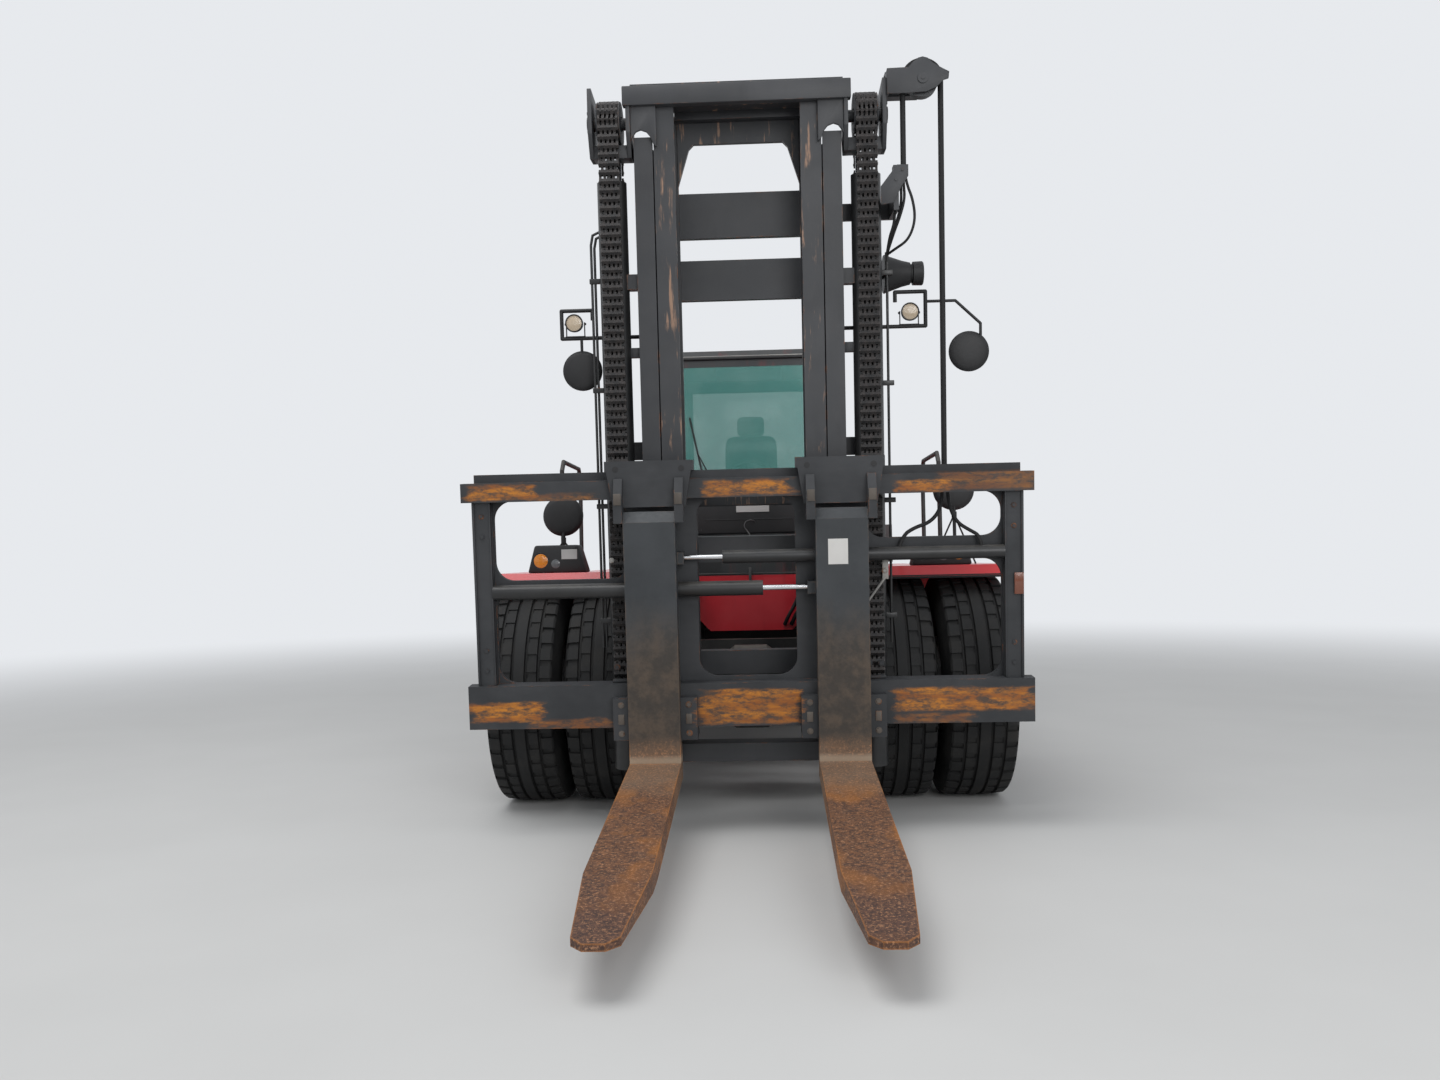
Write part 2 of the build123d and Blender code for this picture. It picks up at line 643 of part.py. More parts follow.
# Inner mast: channels, top beam over the outer channels, arched plate and guide rollers
with BuildPart() as inner_mast:
    upright(INNER_GAP_X, INNER_FACE_X, INNER_WALL, (INNER_BOTTOM_Z, INNER_TOP_Z - TOP_BEAM_HEIGHT))
    block((-620, 620), (MAST_FRONT_Y, MAST_FRONT_Y + 200), (INNER_TOP_Z - TOP_BEAM_HEIGHT, INNER_TOP_Z))
    front_plate(
        [
            (-INNER_GAP_X, INNER_TOP_Z - TOP_BEAM_HEIGHT), (-INNER_GAP_X, 3950), (-300, ARCH_Z - 30),
            (-270, ARCH_Z), (270, ARCH_Z), (300, ARCH_Z - 30), (INNER_GAP_X, 3950),
            (INNER_GAP_X, INNER_TOP_Z - TOP_BEAM_HEIGHT),
        ],
        (MAST_REAR_Y - 40, MAST_REAR_Y),
    )
    for low, high in ((INNER_BOTTOM_Z, 760), (2000, 2160)):
        block((-INNER_GAP_X, INNER_GAP_X), (MAST_REAR_Y - INNER_BEAM_DEPTH, MAST_REAR_Y), (low, high))
    for side in (-1, 1):
        rod(
            (side * INNER_FACE_X, MAST_MIDDLE_Y, 780),
            (side * (OUTER_FACE_X - CHANNEL_WALL - 5), MAST_MIDDLE_Y, 780),
            MAST_DEPTH / 2 - CHANNEL_WALL - ROLLER_GAP,
        )
pieces["inner_mast"] = leaned(inner_mast.part)

# Chain pulleys in yokes at the ends of the top beam, on the lift rods
YOKE_PLATE_X = ((620, 645), (842, 867))
with BuildPart() as chain_pulleys:
    for side in (-1, 1):
        for x in YOKE_PLATE_X:
            side_plate(
                [
                    (LIFT_Y - 60, YOKE_BASE_Z), (LIFT_Y + 60, YOKE_BASE_Z), (LIFT_Y + 120, PULLEY_Z - 80),
                    (LIFT_Y + 120, PULLEY_Z + 150), (LIFT_Y - 110, PULLEY_Z + 180),
                    (LIFT_Y - 120, PULLEY_Z - 80),
                ],
                tuple(sorted((side * x[0], side * x[1]))),
            )
        block((side * 620, side * 867), (LIFT_Y - 60, LIFT_Y + 60), (YOKE_BASE_Z, PULLEY_Z - 135))
        rod((side * 640, LIFT_Y, PULLEY_Z), (side * 850, LIFT_Y, PULLEY_Z), 35)
        edge = CHAIN_WIDTH / 2 + 2
        for x in (LIFT_X - edge - 8, LIFT_X + edge):
            rod((side * x, LIFT_Y, PULLEY_Z), (side * (x + 8), LIFT_Y, PULLEY_Z), CHAIN_RADIUS + 17)
        rod(
            (side * (LIFT_X - edge), LIFT_Y, PULLEY_Z),
            (side * (LIFT_X + edge), LIFT_Y, PULLEY_Z),
            CHAIN_RADIUS - CHAIN_DEPTH / 2 - SEAT_GAP,
        )
        # The chain's turn over the pulley
        with BuildSketch(Plane.YZ.offset(side * LIFT_X - CHAIN_WIDTH / 2)):
            with Locations((LIFT_Y, PULLEY_Z)):
                Circle(CHAIN_RADIUS + CHAIN_DEPTH / 2)
            with Locations((LIFT_Y, PULLEY_Z - 200)):
                Rectangle(600, 400, mode=Mode.SUBTRACT)
        extrude(amount=CHAIN_WIDTH)
pieces["chain_pulleys"] = leaned(chain_pulleys.part)

# Chains: down to the carriage in front of the cylinders and to the outer mast behind
for name, y, anchor_z in (
    ("chains_front", CHAIN_FRONT_Y, CHAIN_ANCHOR_Z),
    ("chains_rear", CHAIN_REAR_Y, REAR_ANCHOR_Z),
):
    with BuildPart() as chains:
        for x in (-LIFT_X, LIFT_X):
            block(
                (x - CHAIN_WIDTH / 2, x + CHAIN_WIDTH / 2),
                (y - CHAIN_DEPTH / 2, y + CHAIN_DEPTH / 2),
                (anchor_z, PULLEY_Z),
            )
    pieces[name] = leaned(chains.part)

# Hose sheave on an arm outboard of the right chain yoke
with BuildPart() as hose_arm:
    block((867, 1060), (HOSE_Y + 38, HOSE_Y + 118), (4361, 4502))
    rod((SHEAVE_X, HOSE_Y + 38, SHEAVE_Z), (SHEAVE_X, HOSE_Y + 60, SHEAVE_Z), 80)
    rod((SHEAVE_X, HOSE_Y - 45, SHEAVE_Z), (SHEAVE_X, HOSE_Y + 60, SHEAVE_Z), 22)
    rod((SHEAVE_X, HOSE_Y - 32, SHEAVE_Z), (SHEAVE_X, HOSE_Y + 32, SHEAVE_Z), SHEAVE_RADIUS - HOSE_RADIUS - 1)
pieces["hose_arm"] = leaned(hose_arm.part)

# Hoses: a pair over the sheave, down to the clamp on the outer mast and down to the carriage
HOSE_OFFSETS = (-16, 16)
with BuildPart() as hose_crown:
    with BuildSketch(Plane.XZ.offset(-(HOSE_Y - 30))):
        with Locations((SHEAVE_X, SHEAVE_Z)):
            Circle(SHEAVE_RADIUS + HOSE_RADIUS)
            Circle(SHEAVE_RADIUS - HOSE_RADIUS, mode=Mode.SUBTRACT)
        with Locations((SHEAVE_X, SHEAVE_Z - 200)):
            Rectangle(500, 400, mode=Mode.SUBTRACT)
    extrude(amount=-60)
pieces["hose_crown"] = leaned(hose_crown.part)
for name, x, low in (
    ("hoses_inner", SHEAVE_X - SHEAVE_RADIUS, HOSE_CLAMP_Z),
    ("hoses_outer", SHEAVE_X + SHEAVE_RADIUS, HOSE_BRACKET_Z),
):
    with BuildPart() as hoses:
        for offset in HOSE_OFFSETS:
            rod((x, HOSE_Y + offset, low), (x, HOSE_Y + offset, SHEAVE_Z), HOSE_RADIUS)
    pieces[name] = leaned(hoses.part)

# Work lamps on tube frames and round mirrors, on the outer mast
FITTING_Y = MAST_REAR_Y - 80
fittings = [
    # side, loop inner x, loop outer x, loop low z, loop high z, lamp x, lamp z, mirror x, mirror z
    (-1, 914, 1104, 3044, 3212, 1020, 3131, 985, 2846),
    (1, 931, 1114, 3061, 3267, 1015, 3142, 1374, 2901),
]
with BuildPart() as mast_fittings:
    for side, near, far, low, high, lamp_x, lamp_z, mirror_x, mirror_z in fittings:
        mitred(
            [
                (side * OUTER_FACE_X, FITTING_Y, low), (side * far, FITTING_Y, low),
                (side * far, FITTING_Y, high), (side * near, FITTING_Y, high),
                (side * near, FITTING_Y, high - 60),
            ],
            12,
            square=True,
        )
        rod((side * lamp_x, FITTING_Y - 60, lamp_z), (side * lamp_x, FITTING_Y + 30, lamp_z), 55)
        rod((side * lamp_x, FITTING_Y, lamp_z), (side * lamp_x, FITTING_Y, low), 10)
        if mirror_x > far:
            mitred(
                [
                    (far - 10, FITTING_Y, high - 60), (mirror_x - 80, FITTING_Y, high - 60),
                    (mirror_x + 70, FITTING_Y, high - 200), (mirror_x + 70, FITTING_Y, mirror_z),
                ],
                9,
                square=True,
            )
        else:
            rod((side * mirror_x, FITTING_Y, low), (side * mirror_x, FITTING_Y, mirror_z), 9)
        rod((side * mirror_x, FITTING_Y - 20, mirror_z), (side * mirror_x, FITTING_Y + 10, mirror_z), 122)
pieces["mast_fittings"] = leaned(mast_fittings.part)

# Carriage: a plate with windows behind two bars, guide stiles with rollers, and chain anchors
windows = [
    # x low, x high, z low, z high
    (5 - POST_X, -WEB_X - 50, 1590, UPPER_BAR_Z[0]),
    (5 - POST_X, -WEB_X, LOWER_BAR_Z[1], 1530),
    (WEB_X + 50, POST_X - 5, 1803, UPPER_BAR_Z[0]),
    (WEB_X, POST_X - 5, LOWER_BAR_Z[1], 1668),
    (-290, 290, LOWER_BAR_Z[1] + 24, UPPER_BAR_Z[0]),
]
INNER_ROLLER = MAST_DEPTH / 2 - INNER_WALL - ROLLER_GAP
with BuildPart() as carriage:
    with BuildSketch(Plane.XZ.offset(-PLATE_Y)) as plate:
        with Locations((0, (LOWER_BAR_Z[0] + PLATE_TOP_Z) / 2)):
            Rectangle(2 * PLATE_HALF_WIDTH, PLATE_TOP_Z - LOWER_BAR_Z[0])
    extrude(amount=-PLATE_DEPTH)
    with BuildSketch(Plane.XZ.offset(-PLATE_Y + 1)) as openings:
        for x_low, x_high, z_low, z_high in windows:
            with Locations(((x_low + x_high) / 2, (z_low + z_high) / 2)):
                RectangleRounded(x_high - x_low, z_high - z_low, WINDOW_CORNER)
    extrude(amount=-PLATE_DEPTH - 2, mode=Mode.SUBTRACT)
    for z in (LOWER_BAR_Z, UPPER_BAR_Z):
        block((-CARRIAGE_HALF_WIDTH, CARRIAGE_HALF_WIDTH), (BAR_Y, PLATE_Y), z)
    for x in both((POST_X, PLATE_HALF_WIDTH)):
        block(x, (BAR_Y + 30, PLATE_Y), (LOWER_BAR_Z[1], UPPER_BAR_Z[0]))
    for x in both(STILE_X):
        block(x, (PLATE_REAR_Y, PLATE_REAR_Y + STILE_DEPTH), (760, 2110))
    for side in (-1, 1):
        for z in (900, 1900):
            rod((side * STILE_X[1], MAST_MIDDLE_Y, z), (side * 450, MAST_MIDDLE_Y, z), INNER_ROLLER)
        block(
            (side * (LIFT_X - 60), side * (LIFT_X + 60)),
            (PLATE_REAR_Y, PLATE_REAR_Y + 40),
            (CHAIN_ANCHOR_Z - 150, CHAIN_ANCHOR_Z),
        )
    block((1140, 1220), (PLATE_REAR_Y, HOSE_Y + 30), (HOSE_BRACKET_Z - 60, HOSE_BRACKET_Z))
pieces["carriage"] = leaned(carriage.part)

# Fork positioning cylinders: barrels on the carriage, a rod on each fork
positioners = [
    # fork, z, barrel radius, anchored end x, barrel head x, rod lug x
    ("left", 1712, 39, POST_X, -138, -364),
    ("right", 1526, 44, -POST_X, 95, 355),
]
POSITION_ROD_RADIUS = 15
with BuildPart() as position_barrels:
    for fork, z, radius, anchor_x, head_x, lug_x in positioners:
        rod((anchor_x, CYLINDER_Y, z), (head_x, CYLINDER_Y, z), radius)
        rod(
            (anchor_x * 0.85, CYLINDER_Y, z),
            (head_x, CYLINDER_Y, z),
            POSITION_ROD_RADIUS + RUNNING_FIT,
            mode=Mode.SUBTRACT,
        )
pieces["position_barrels"] = leaned(position_barrels.part)
for fork, z, radius, anchor_x, head_x, lug_x in positioners:
    with BuildPart() as position_rod:
        rod((lug_x, CYLINDER_Y, z), (anchor_x * 0.7, CYLINDER_Y, z), POSITION_ROD_RADIUS)
    pieces[f"position_rod_{fork}"] = leaned(position_rod.part)

# Forks: a forged blade and shank, tapered in thickness and in plan towards the tip
FORK_TIP_Y = FORK_FACE_Y - FORK_LENGTH
for name, side, (fork, z, radius, anchor_x, head_x, lug_x) in (
    ("left", -1, positioners[0]),
    ("right", 1, positioners[1]),
):
    x = side * FORK_X
    under = FORK_TOP_Z - FORK_THICKNESS
    shank_back = FORK_FACE_Y + FORK_THICKNESS
    with BuildPart() as fork_arm:
        with BuildSketch(Plane.YZ.offset(x - FORK_WIDTH / 2)) as profile:
            with BuildLine():
                Polyline(
                    (FORK_TIP_Y, FORK_TOP_Z), (FORK_FACE_Y, FORK_TOP_Z), (FORK_FACE_Y, SHANK_TOP_Z - 60),
                    (FORK_FACE_Y + 50, SHANK_TOP_Z), (shank_back, SHANK_TOP_Z), (shank_back, under),
                    (FORK_TIP_Y + 900, under), (FORK_TIP_Y, FORK_TOP_Z - FORK_TIP_THICKNESS), close=True,
                )
            make_face()
            corners = profile.vertices()
            fillet([v for v in corners if v.Y == shank_back and v.Z < FORK_TOP_Z], 85)
        extrude(amount=FORK_WIDTH)
        with BuildSketch(Plane.XY.offset(under - 1)):
            with BuildLine():
                Polyline(
                    (x - FORK_WIDTH / 2, shank_back + 1), (x - FORK_WIDTH / 2, FORK_TIP_Y + 700),
                    (x - FORK_TIP_WIDTH / 2, FORK_TIP_Y + 60), (x - FORK_TIP_WIDTH / 2 + 50, FORK_TIP_Y),
                    (x + FORK_TIP_WIDTH / 2 - 50, FORK_TIP_Y), (x + FORK_TIP_WIDTH / 2, FORK_TIP_Y + 60),
                    (x + FORK_WIDTH / 2, FORK_TIP_Y + 700), (x + FORK_WIDTH / 2, shank_back + 1), close=True,
                )
            make_face()
        extrude(amount=SHANK_TOP_Z, mode=Mode.INTERSECT)
        block((lug_x, x), (shank_back - 1, PLATE_Y - 10), (z - 35, z + 35))
        block((x, x - side * 140), (shank_back - 1, PLATE_Y - 10), (z - 35, z + 35))
        rod(
            (lug_x - side * 1, CYLINDER_Y, z),
            (lug_x + side * 120, CYLINDER_Y, z),
            POSITION_ROD_RADIUS,
            mode=Mode.SUBTRACT,
        )
    pieces[f"fork_{name}"] = leaned(fork_arm.part)
    half = HANGER_WIDTH / 2
    with BuildPart() as hanger:
        front_plate(
            [
                (x - half, HANGER_TOP_Z), (x + half, HANGER_TOP_Z), (x + half - 45, SHANK_TOP_Z + 26),
                (x - half + 45, SHANK_TOP_Z + 26),
            ],
            (FORK_FACE_Y + 60, FORK_FACE_Y + 110),
        )
        block(
            (x - half, x + half),
            (FORK_FACE_Y + 60, PLATE_REAR_Y - 3),
            (PLATE_TOP_Z + SEAT_GAP, HANGER_TOP_Z),
        )
        for near in (-FORK_WIDTH / 2 - SEAT_GAP - 50, FORK_WIDTH / 2 + SEAT_GAP):
            side_plate(
                [
                    (FORK_FACE_Y + 110, SHANK_TOP_Z - 62), (FORK_FACE_Y + 110, 2185),
                    (FORK_FACE_Y + 40, 2185), (FORK_FACE_Y - 20, SHANK_TOP_Z + 60),
                    (FORK_FACE_Y - 20, SHANK_TOP_Z - 62),
                ],
                (x + near, x + near + 50),
            )
        for near in (-half + 8, FORK_WIDTH / 2 + SEAT_GAP):
            block(
                (x + near, x + near + half - 8 - FORK_WIDTH / 2 - SEAT_GAP),
                (FORK_FACE_Y + 60, FORK_FACE_Y + 110 + SEAT_GAP),
                (650, 900),
            )
        block(
            (x - half + 8, x + half - 8),
            (FORK_FACE_Y + 110 + SEAT_GAP, PLATE_REAR_Y - 3),
            (650, LOWER_BAR_Z[0] - SLIDE_GAP),
        )
    pieces[f"fork_hanger_{name}"] = leaned(hanger.part)

# Tilt cylinders: barrels on the frame, rods on the ears of the outer mast
lean = radians(REST_TILT)
ear_ahead = FORK_FACE_Y + TILT_EAR_SETBACK - PIVOT_Y
ear_up = TILT_EAR_Z - PIVOT_Z
EAR_Y = PIVOT_Y + ear_ahead * cos(lean) - ear_up * sin(lean)
EAR_Z = PIVOT_Z + ear_up * cos(lean) + ear_ahead * sin(lean)
TILT_LENGTH = hypot(EAR_Y - TILT_BASE_Y, EAR_Z - TILT_BASE_Z)
TILT_STROKE = 260


def along_tilt(x, distance):
    """A point on a tilt cylinder's line, from its base pin."""
    share = distance / TILT_LENGTH
    return (x, TILT_BASE_Y + (EAR_Y - TILT_BASE_Y) * share, TILT_BASE_Z + (EAR_Z - TILT_BASE_Z) * share)


for name, x in (("left", -TILT_X), ("right", TILT_X)):
    with BuildPart() as tilt_barrel:
        rod((x - 40, TILT_BASE_Y, TILT_BASE_Z), (x + 40, TILT_BASE_Y, TILT_BASE_Z), 72)
        rod(along_tilt(x, 40), along_tilt(x, TILT_BARREL_LENGTH), TILT_BARREL_RADIUS)
        rod(
            (x - 41, TILT_BASE_Y, TILT_BASE_Z), (x + 41, TILT_BASE_Y, TILT_BASE_Z),
            35 + RUNNING_FIT, mode=Mode.SUBTRACT,
        )
        rod(
            along_tilt(x, 200), along_tilt(x, TILT_BARREL_LENGTH + 1),
            TILT_ROD_RADIUS + RUNNING_FIT, mode=Mode.SUBTRACT,
        )
    pieces[f"tilt_barrel_{name}"] = tilt_barrel.part
    with BuildPart() as tilt_rod:
        rod(
            along_tilt(x, TILT_BARREL_LENGTH - TILT_STROKE - 100), along_tilt(x, TILT_LENGTH - 30),
            TILT_ROD_RADIUS,
        )
        rod((x - 27, EAR_Y, EAR_Z), (x + 27, EAR_Y, EAR_Z), 52)
        rod((x - 28, EAR_Y, EAR_Z), (x + 28, EAR_Y, EAR_Z), 34, mode=Mode.SUBTRACT)
    pieces[f"tilt_rod_{name}"] = tilt_rod.part

# Front cowl between the frame plates: sloped red plate, cable duct and valve box
COWL_HALF_WIDTH = FRAME_X[0]
with BuildPart() as front_cowl:
    front_plate(
        [
            (-COWL_HALF_WIDTH, FRAME_TOP_Z), (-COWL_HALF_WIDTH, 1180), (-COWL_HALF_WIDTH + 90, 1085),
            (COWL_HALF_WIDTH - 90, 1085), (COWL_HALF_WIDTH, 1180), (COWL_HALF_WIDTH, FRAME_TOP_Z),
        ],
        (DRIVE_Y + 700, DRIVE_Y + 720),
    )
    block((-600, 600), (DRIVE_Y + 700, DRIVE_Y + 1950), (FRAME_TOP_Z, 1670))
    block((-520, 520), (DRIVE_Y + 760, DRIVE_Y + 1950), (1670, 1810))
    block((-450, 450), (DRIVE_Y + 820, DRIVE_Y + 1800), (1810, 2160))
    fillet(front_cowl.edges().filter_by(Axis.Y).group_by(Axis.Z)[-1], 60)
pieces["front_cowl"] = front_cowl.part

# Fenders over the drive wheels: a rolled front lip and a slope down behind
FENDER_X = (655, TWIN_CENTRE_X + TWIN_PITCH / 2 + TYRE_WIDTH / 2 + 12)
fender_top = [
    # y from the drive axle, z
    (-420, 1490), (-380, 1560), (760, 1560), (TANK_FRONT, 1300), (TANK_FRONT, 900), (955, 900), (955, 1288),
    (745, 1530), (-365, 1530), (-395, 1490),
]

# Side tanks with step recesses, under the deck
TANK_REAR_Y = STEER_Y - 1050
with BuildPart() as side_tanks:
    for x in both(TANK_X):
        side_plate(
            [
                (DRIVE_Y + TANK_FRONT, 700), (DRIVE_Y + TANK_FRONT + 100, 600), (TANK_REAR_Y - 100, 600),
                (TANK_REAR_Y, 700), (TANK_REAR_Y, FRAME_TOP_Z), (DRIVE_Y + TANK_FRONT, FRAME_TOP_Z),
            ],
            x,
        )
    for x in both((TANK_X[1] - 160, TANK_X[1] + 1)):
        for z in (720, 1060):
            block(x, (DRIVE_Y + 2300, DRIVE_Y + 2800), (z, z + 260), mode=Mode.SUBTRACT)
pieces["side_tanks"] = side_tanks.part

# Deck plates on the tanks and the frame, with the fenders and the cab mounts
with BuildPart() as deck:
    for x in both(FENDER_X):
        side_plate([(DRIVE_Y + y, z) for y, z in fender_top], x)
    for x in both((FRAME_X[0] + 10, TANK_X[1] + 60)):
        block(x, (DRIVE_Y + 1955, CAB_REAR_Y + 50), (FRAME_TOP_Z, DECK_TOP_Z))
    for x in both((620, TANK_X[1] + 60)):
        block(x, (DRIVE_Y + 990, DRIVE_Y + 1955), (FRAME_TOP_Z, DECK_TOP_Z))
    for x in (-600, 600):
        for y in (CAB_FRONT_Y + 150, CAB_REAR_Y - 150):
            rod((x, y, DECK_TOP_Z), (x, y, CAB_BOTTOM_Z), 70)
pieces["deck"] = deck.part

# Cab: a hollow shell with a sloped windscreen, door openings and windows
SCREEN_FOOT = (CAB_FRONT_Y, 2050)
SCREEN_HEAD = (CAB_FRONT_Y + 130, 3420)
cab_outline = [
    (CAB_FRONT_Y, CAB_BOTTOM_Z), SCREEN_FOOT, SCREEN_HEAD, (CAB_FRONT_Y + 220, CAB_TOP_Z),
    (CAB_REAR_Y - 60, CAB_TOP_Z), (CAB_REAR_Y, CAB_TOP_Z - 60), (CAB_REAR_Y, CAB_BOTTOM_Z),
]
cab_inside = [
    (CAB_FRONT_Y + CAB_WALL, CAB_FLOOR_Z), (SCREEN_FOOT[0] + CAB_WALL, SCREEN_FOOT[1]),
    (SCREEN_HEAD[0] + CAB_WALL, SCREEN_HEAD[1] - 20), (CAB_FRONT_Y + 240, CAB_TOP_Z - CAB_WALL),
    (CAB_REAR_Y - CAB_WALL, CAB_TOP_Z - CAB_WALL), (CAB_REAR_Y - CAB_WALL, CAB_FLOOR_Z),
]
screen_up = Vector(0, SCREEN_HEAD[0] - SCREEN_FOOT[0], SCREEN_HEAD[1] - SCREEN_FOOT[1])
SCREEN_HEIGHT = screen_up.length - 130
screen_plane = Plane(
    origin=Vector(0, SCREEN_FOOT[0], SCREEN_FOOT[1]) + screen_up * 0.5,
    x_dir=(1, 0, 0),
    z_dir=Vector(1, 0, 0).cross(screen_up).normalized(),
)
DOOR_Y = (CAB_FRONT_Y + 300, CAB_REAR_Y - 500)
DOOR_Z = (1700, 3380)
HINGE_X = CAB_HALF_WIDTH + 15
HINGE_Y = DOOR_Y[1] + 2
HINGE_Z = (1950, 3100)
REAR_PANE = ((-600, 600), (CAB_REAR_Y - CAB_WALL, CAB_REAR_Y), (2440, 3350))
QUARTER_PANE = (
    (CAB_HALF_WIDTH - CAB_WALL, CAB_HALF_WIDTH), (CAB_REAR_Y - 390, CAB_REAR_Y - 110), (2300, 3350),
)
GLASS = 8


def screen(width, height, depth, mode=Mode.ADD):
    """A slab through the sloped windscreen's opening."""
    with BuildSketch(screen_plane) as opening:
        RectangleRounded(width, height, 60)
    extrude(opening.sketch, amount=depth, both=True, mode=mode)


with BuildPart() as cab_frame:
    side_plate(cab_outline, (-CAB_HALF_WIDTH, CAB_HALF_WIDTH))
    side_plate(cab_inside, (CAB_WALL - CAB_HALF_WIDTH, CAB_HALF_WIDTH - CAB_WALL), mode=Mode.SUBTRACT)
    screen(1400, SCREEN_HEIGHT, 90, mode=Mode.SUBTRACT)
    block(REAR_PANE[0], (CAB_REAR_Y - CAB_WALL - 1, CAB_REAR_Y + 1), REAR_PANE[2], mode=Mode.SUBTRACT)
    for side in (-1, 1):
        through = (side * (CAB_HALF_WIDTH - CAB_WALL - 1), side * (CAB_HALF_WIDTH + 1))
        block(through, QUARTER_PANE[1], QUARTER_PANE[2], mode=Mode.SUBTRACT)
        block(through, DOOR_Y, DOOR_Z, mode=Mode.SUBTRACT)
        for z in HINGE_Z:
            for low in (z - 32, z + 22):
                block(
                    (side * (CAB_HALF_WIDTH - 1), side * (HINGE_X + 10)), (HINGE_Y - 6, HINGE_Y + 40),
                    (low, low + 10),
                )
            rod((side * HINGE_X, HINGE_Y, z - 32), (side * HINGE_X, HINGE_Y, z + 32), 6)
pieces["cab_frame"] = cab_frame.part

with BuildPart() as cab_glass:
    screen(1400, SCREEN_HEIGHT, GLASS / 2)
    block(REAR_PANE[0], (CAB_REAR_Y - 30, CAB_REAR_Y - 30 + GLASS), REAR_PANE[2])
    for side in (-1, 1):
        block((side * 770, side * (770 + GLASS)), QUARTER_PANE[1], QUARTER_PANE[2])
pieces["cab_glass"] = cab_glass.part

# Cab doors, hinged behind, each with its pane
DOOR_PANE_Y = (DOOR_Y[0] + 90, DOOR_Y[1] - 90)
DOOR_PANE_Z = (2250, 3290)
for name, side in (("left", -1), ("right", 1)):
    skin = (side * (CAB_HALF_WIDTH - CAB_WALL), side * CAB_HALF_WIDTH)
    with BuildPart() as door:
        block(
            skin,
            (DOOR_Y[0] + SLIDE_GAP, DOOR_Y[1] - SLIDE_GAP),
            (DOOR_Z[0] + SLIDE_GAP, DOOR_Z[1] - SLIDE_GAP),
        )
        block((skin[0] - side, skin[1] + side), DOOR_PANE_Y, DOOR_PANE_Z, mode=Mode.SUBTRACT)
        for z in HINGE_Z:
            block(
                (side * (CAB_HALF_WIDTH - 1), side * (CAB_HALF_WIDTH + 6)),
                (HINGE_Y - 90, HINGE_Y - 8),
                (z - 21, z + 21),
            )
            rod((side * HINGE_X, HINGE_Y, z - 21.7), (side * HINGE_X, HINGE_Y, z + 21.7), 14)
            block(
                (side * (CAB_HALF_WIDTH + 1), side * HINGE_X),
                (HINGE_Y - 30, HINGE_Y - 6),
                (z - 21, z + 21),
            )
            rod(
                (side * HINGE_X, HINGE_Y, z - 22), (side * HINGE_X, HINGE_Y, z + 22), 6 + RUNNING_FIT,
                Mode.SUBTRACT,
            )
    pieces[f"cab_door_{name}"] = door.part
    with BuildPart() as door_pane:
        block((side * 770, side * (770 + GLASS)), DOOR_PANE_Y, DOOR_PANE_Z)
    pieces[f"door_glass_{name}"] = door_pane.part

# Operator's seat: pedestal, cushion, back, headrest and arm rests
SEAT_Y = CAB_FRONT_Y + 950
with BuildPart() as operator_seat:
    block((-180, 180), (SEAT_Y - 200, SEAT_Y + 180), (CAB_FLOOR_Z, 2080))
    block((-265, 265), (SEAT_Y - 290, SEAT_Y + 240), (2080, 2220))
    side_plate(
        [(SEAT_Y + 150, 2220), (SEAT_Y + 240, 2200), (SEAT_Y + 370, 2850), (SEAT_Y + 270, 2870)], (-265, 265)
    )
    side_plate(
        [(SEAT_Y + 275, 2860), (SEAT_Y + 370, 2840), (SEAT_Y + 410, 3050), (SEAT_Y + 325, 3060)], (-140, 140)
    )
    for x in both((285, 345)):
        block(x, (SEAT_Y - 190, SEAT_Y + 220), (2380, 2440))
        block(x, (SEAT_Y + 100, SEAT_Y + 180), (2120, 2380))
    for x in both((265, 285)):
        block(x, (SEAT_Y + 100, SEAT_Y + 180), (2120, 2200))
pieces["operator_seat"] = operator_seat.part

# Dashboard with the steering column and wheel
with BuildPart() as dashboard:
    side_plate(
        [
            (CAB_FRONT_Y + 60, CAB_FLOOR_Z), (CAB_FRONT_Y + 60, 2120), (CAB_FRONT_Y + 170, 2150),
            (CAB_FRONT_Y + 330, 2050), (CAB_FRONT_Y + 300, CAB_FLOOR_Z),
        ],
        (-420, 420),
    )
    rod((0, CAB_FRONT_Y + 260, 2050), (0, CAB_FRONT_Y + 420, 2420), 35)
    with BuildSketch(Plane(origin=(0, CAB_FRONT_Y + 420, 2420), z_dir=(0, 160, 370))):
        Circle(190)
        Circle(165, mode=Mode.SUBTRACT)
        Rectangle(350, 40)
    extrude(amount=22)
pieces["dashboard"] = dashboard.part

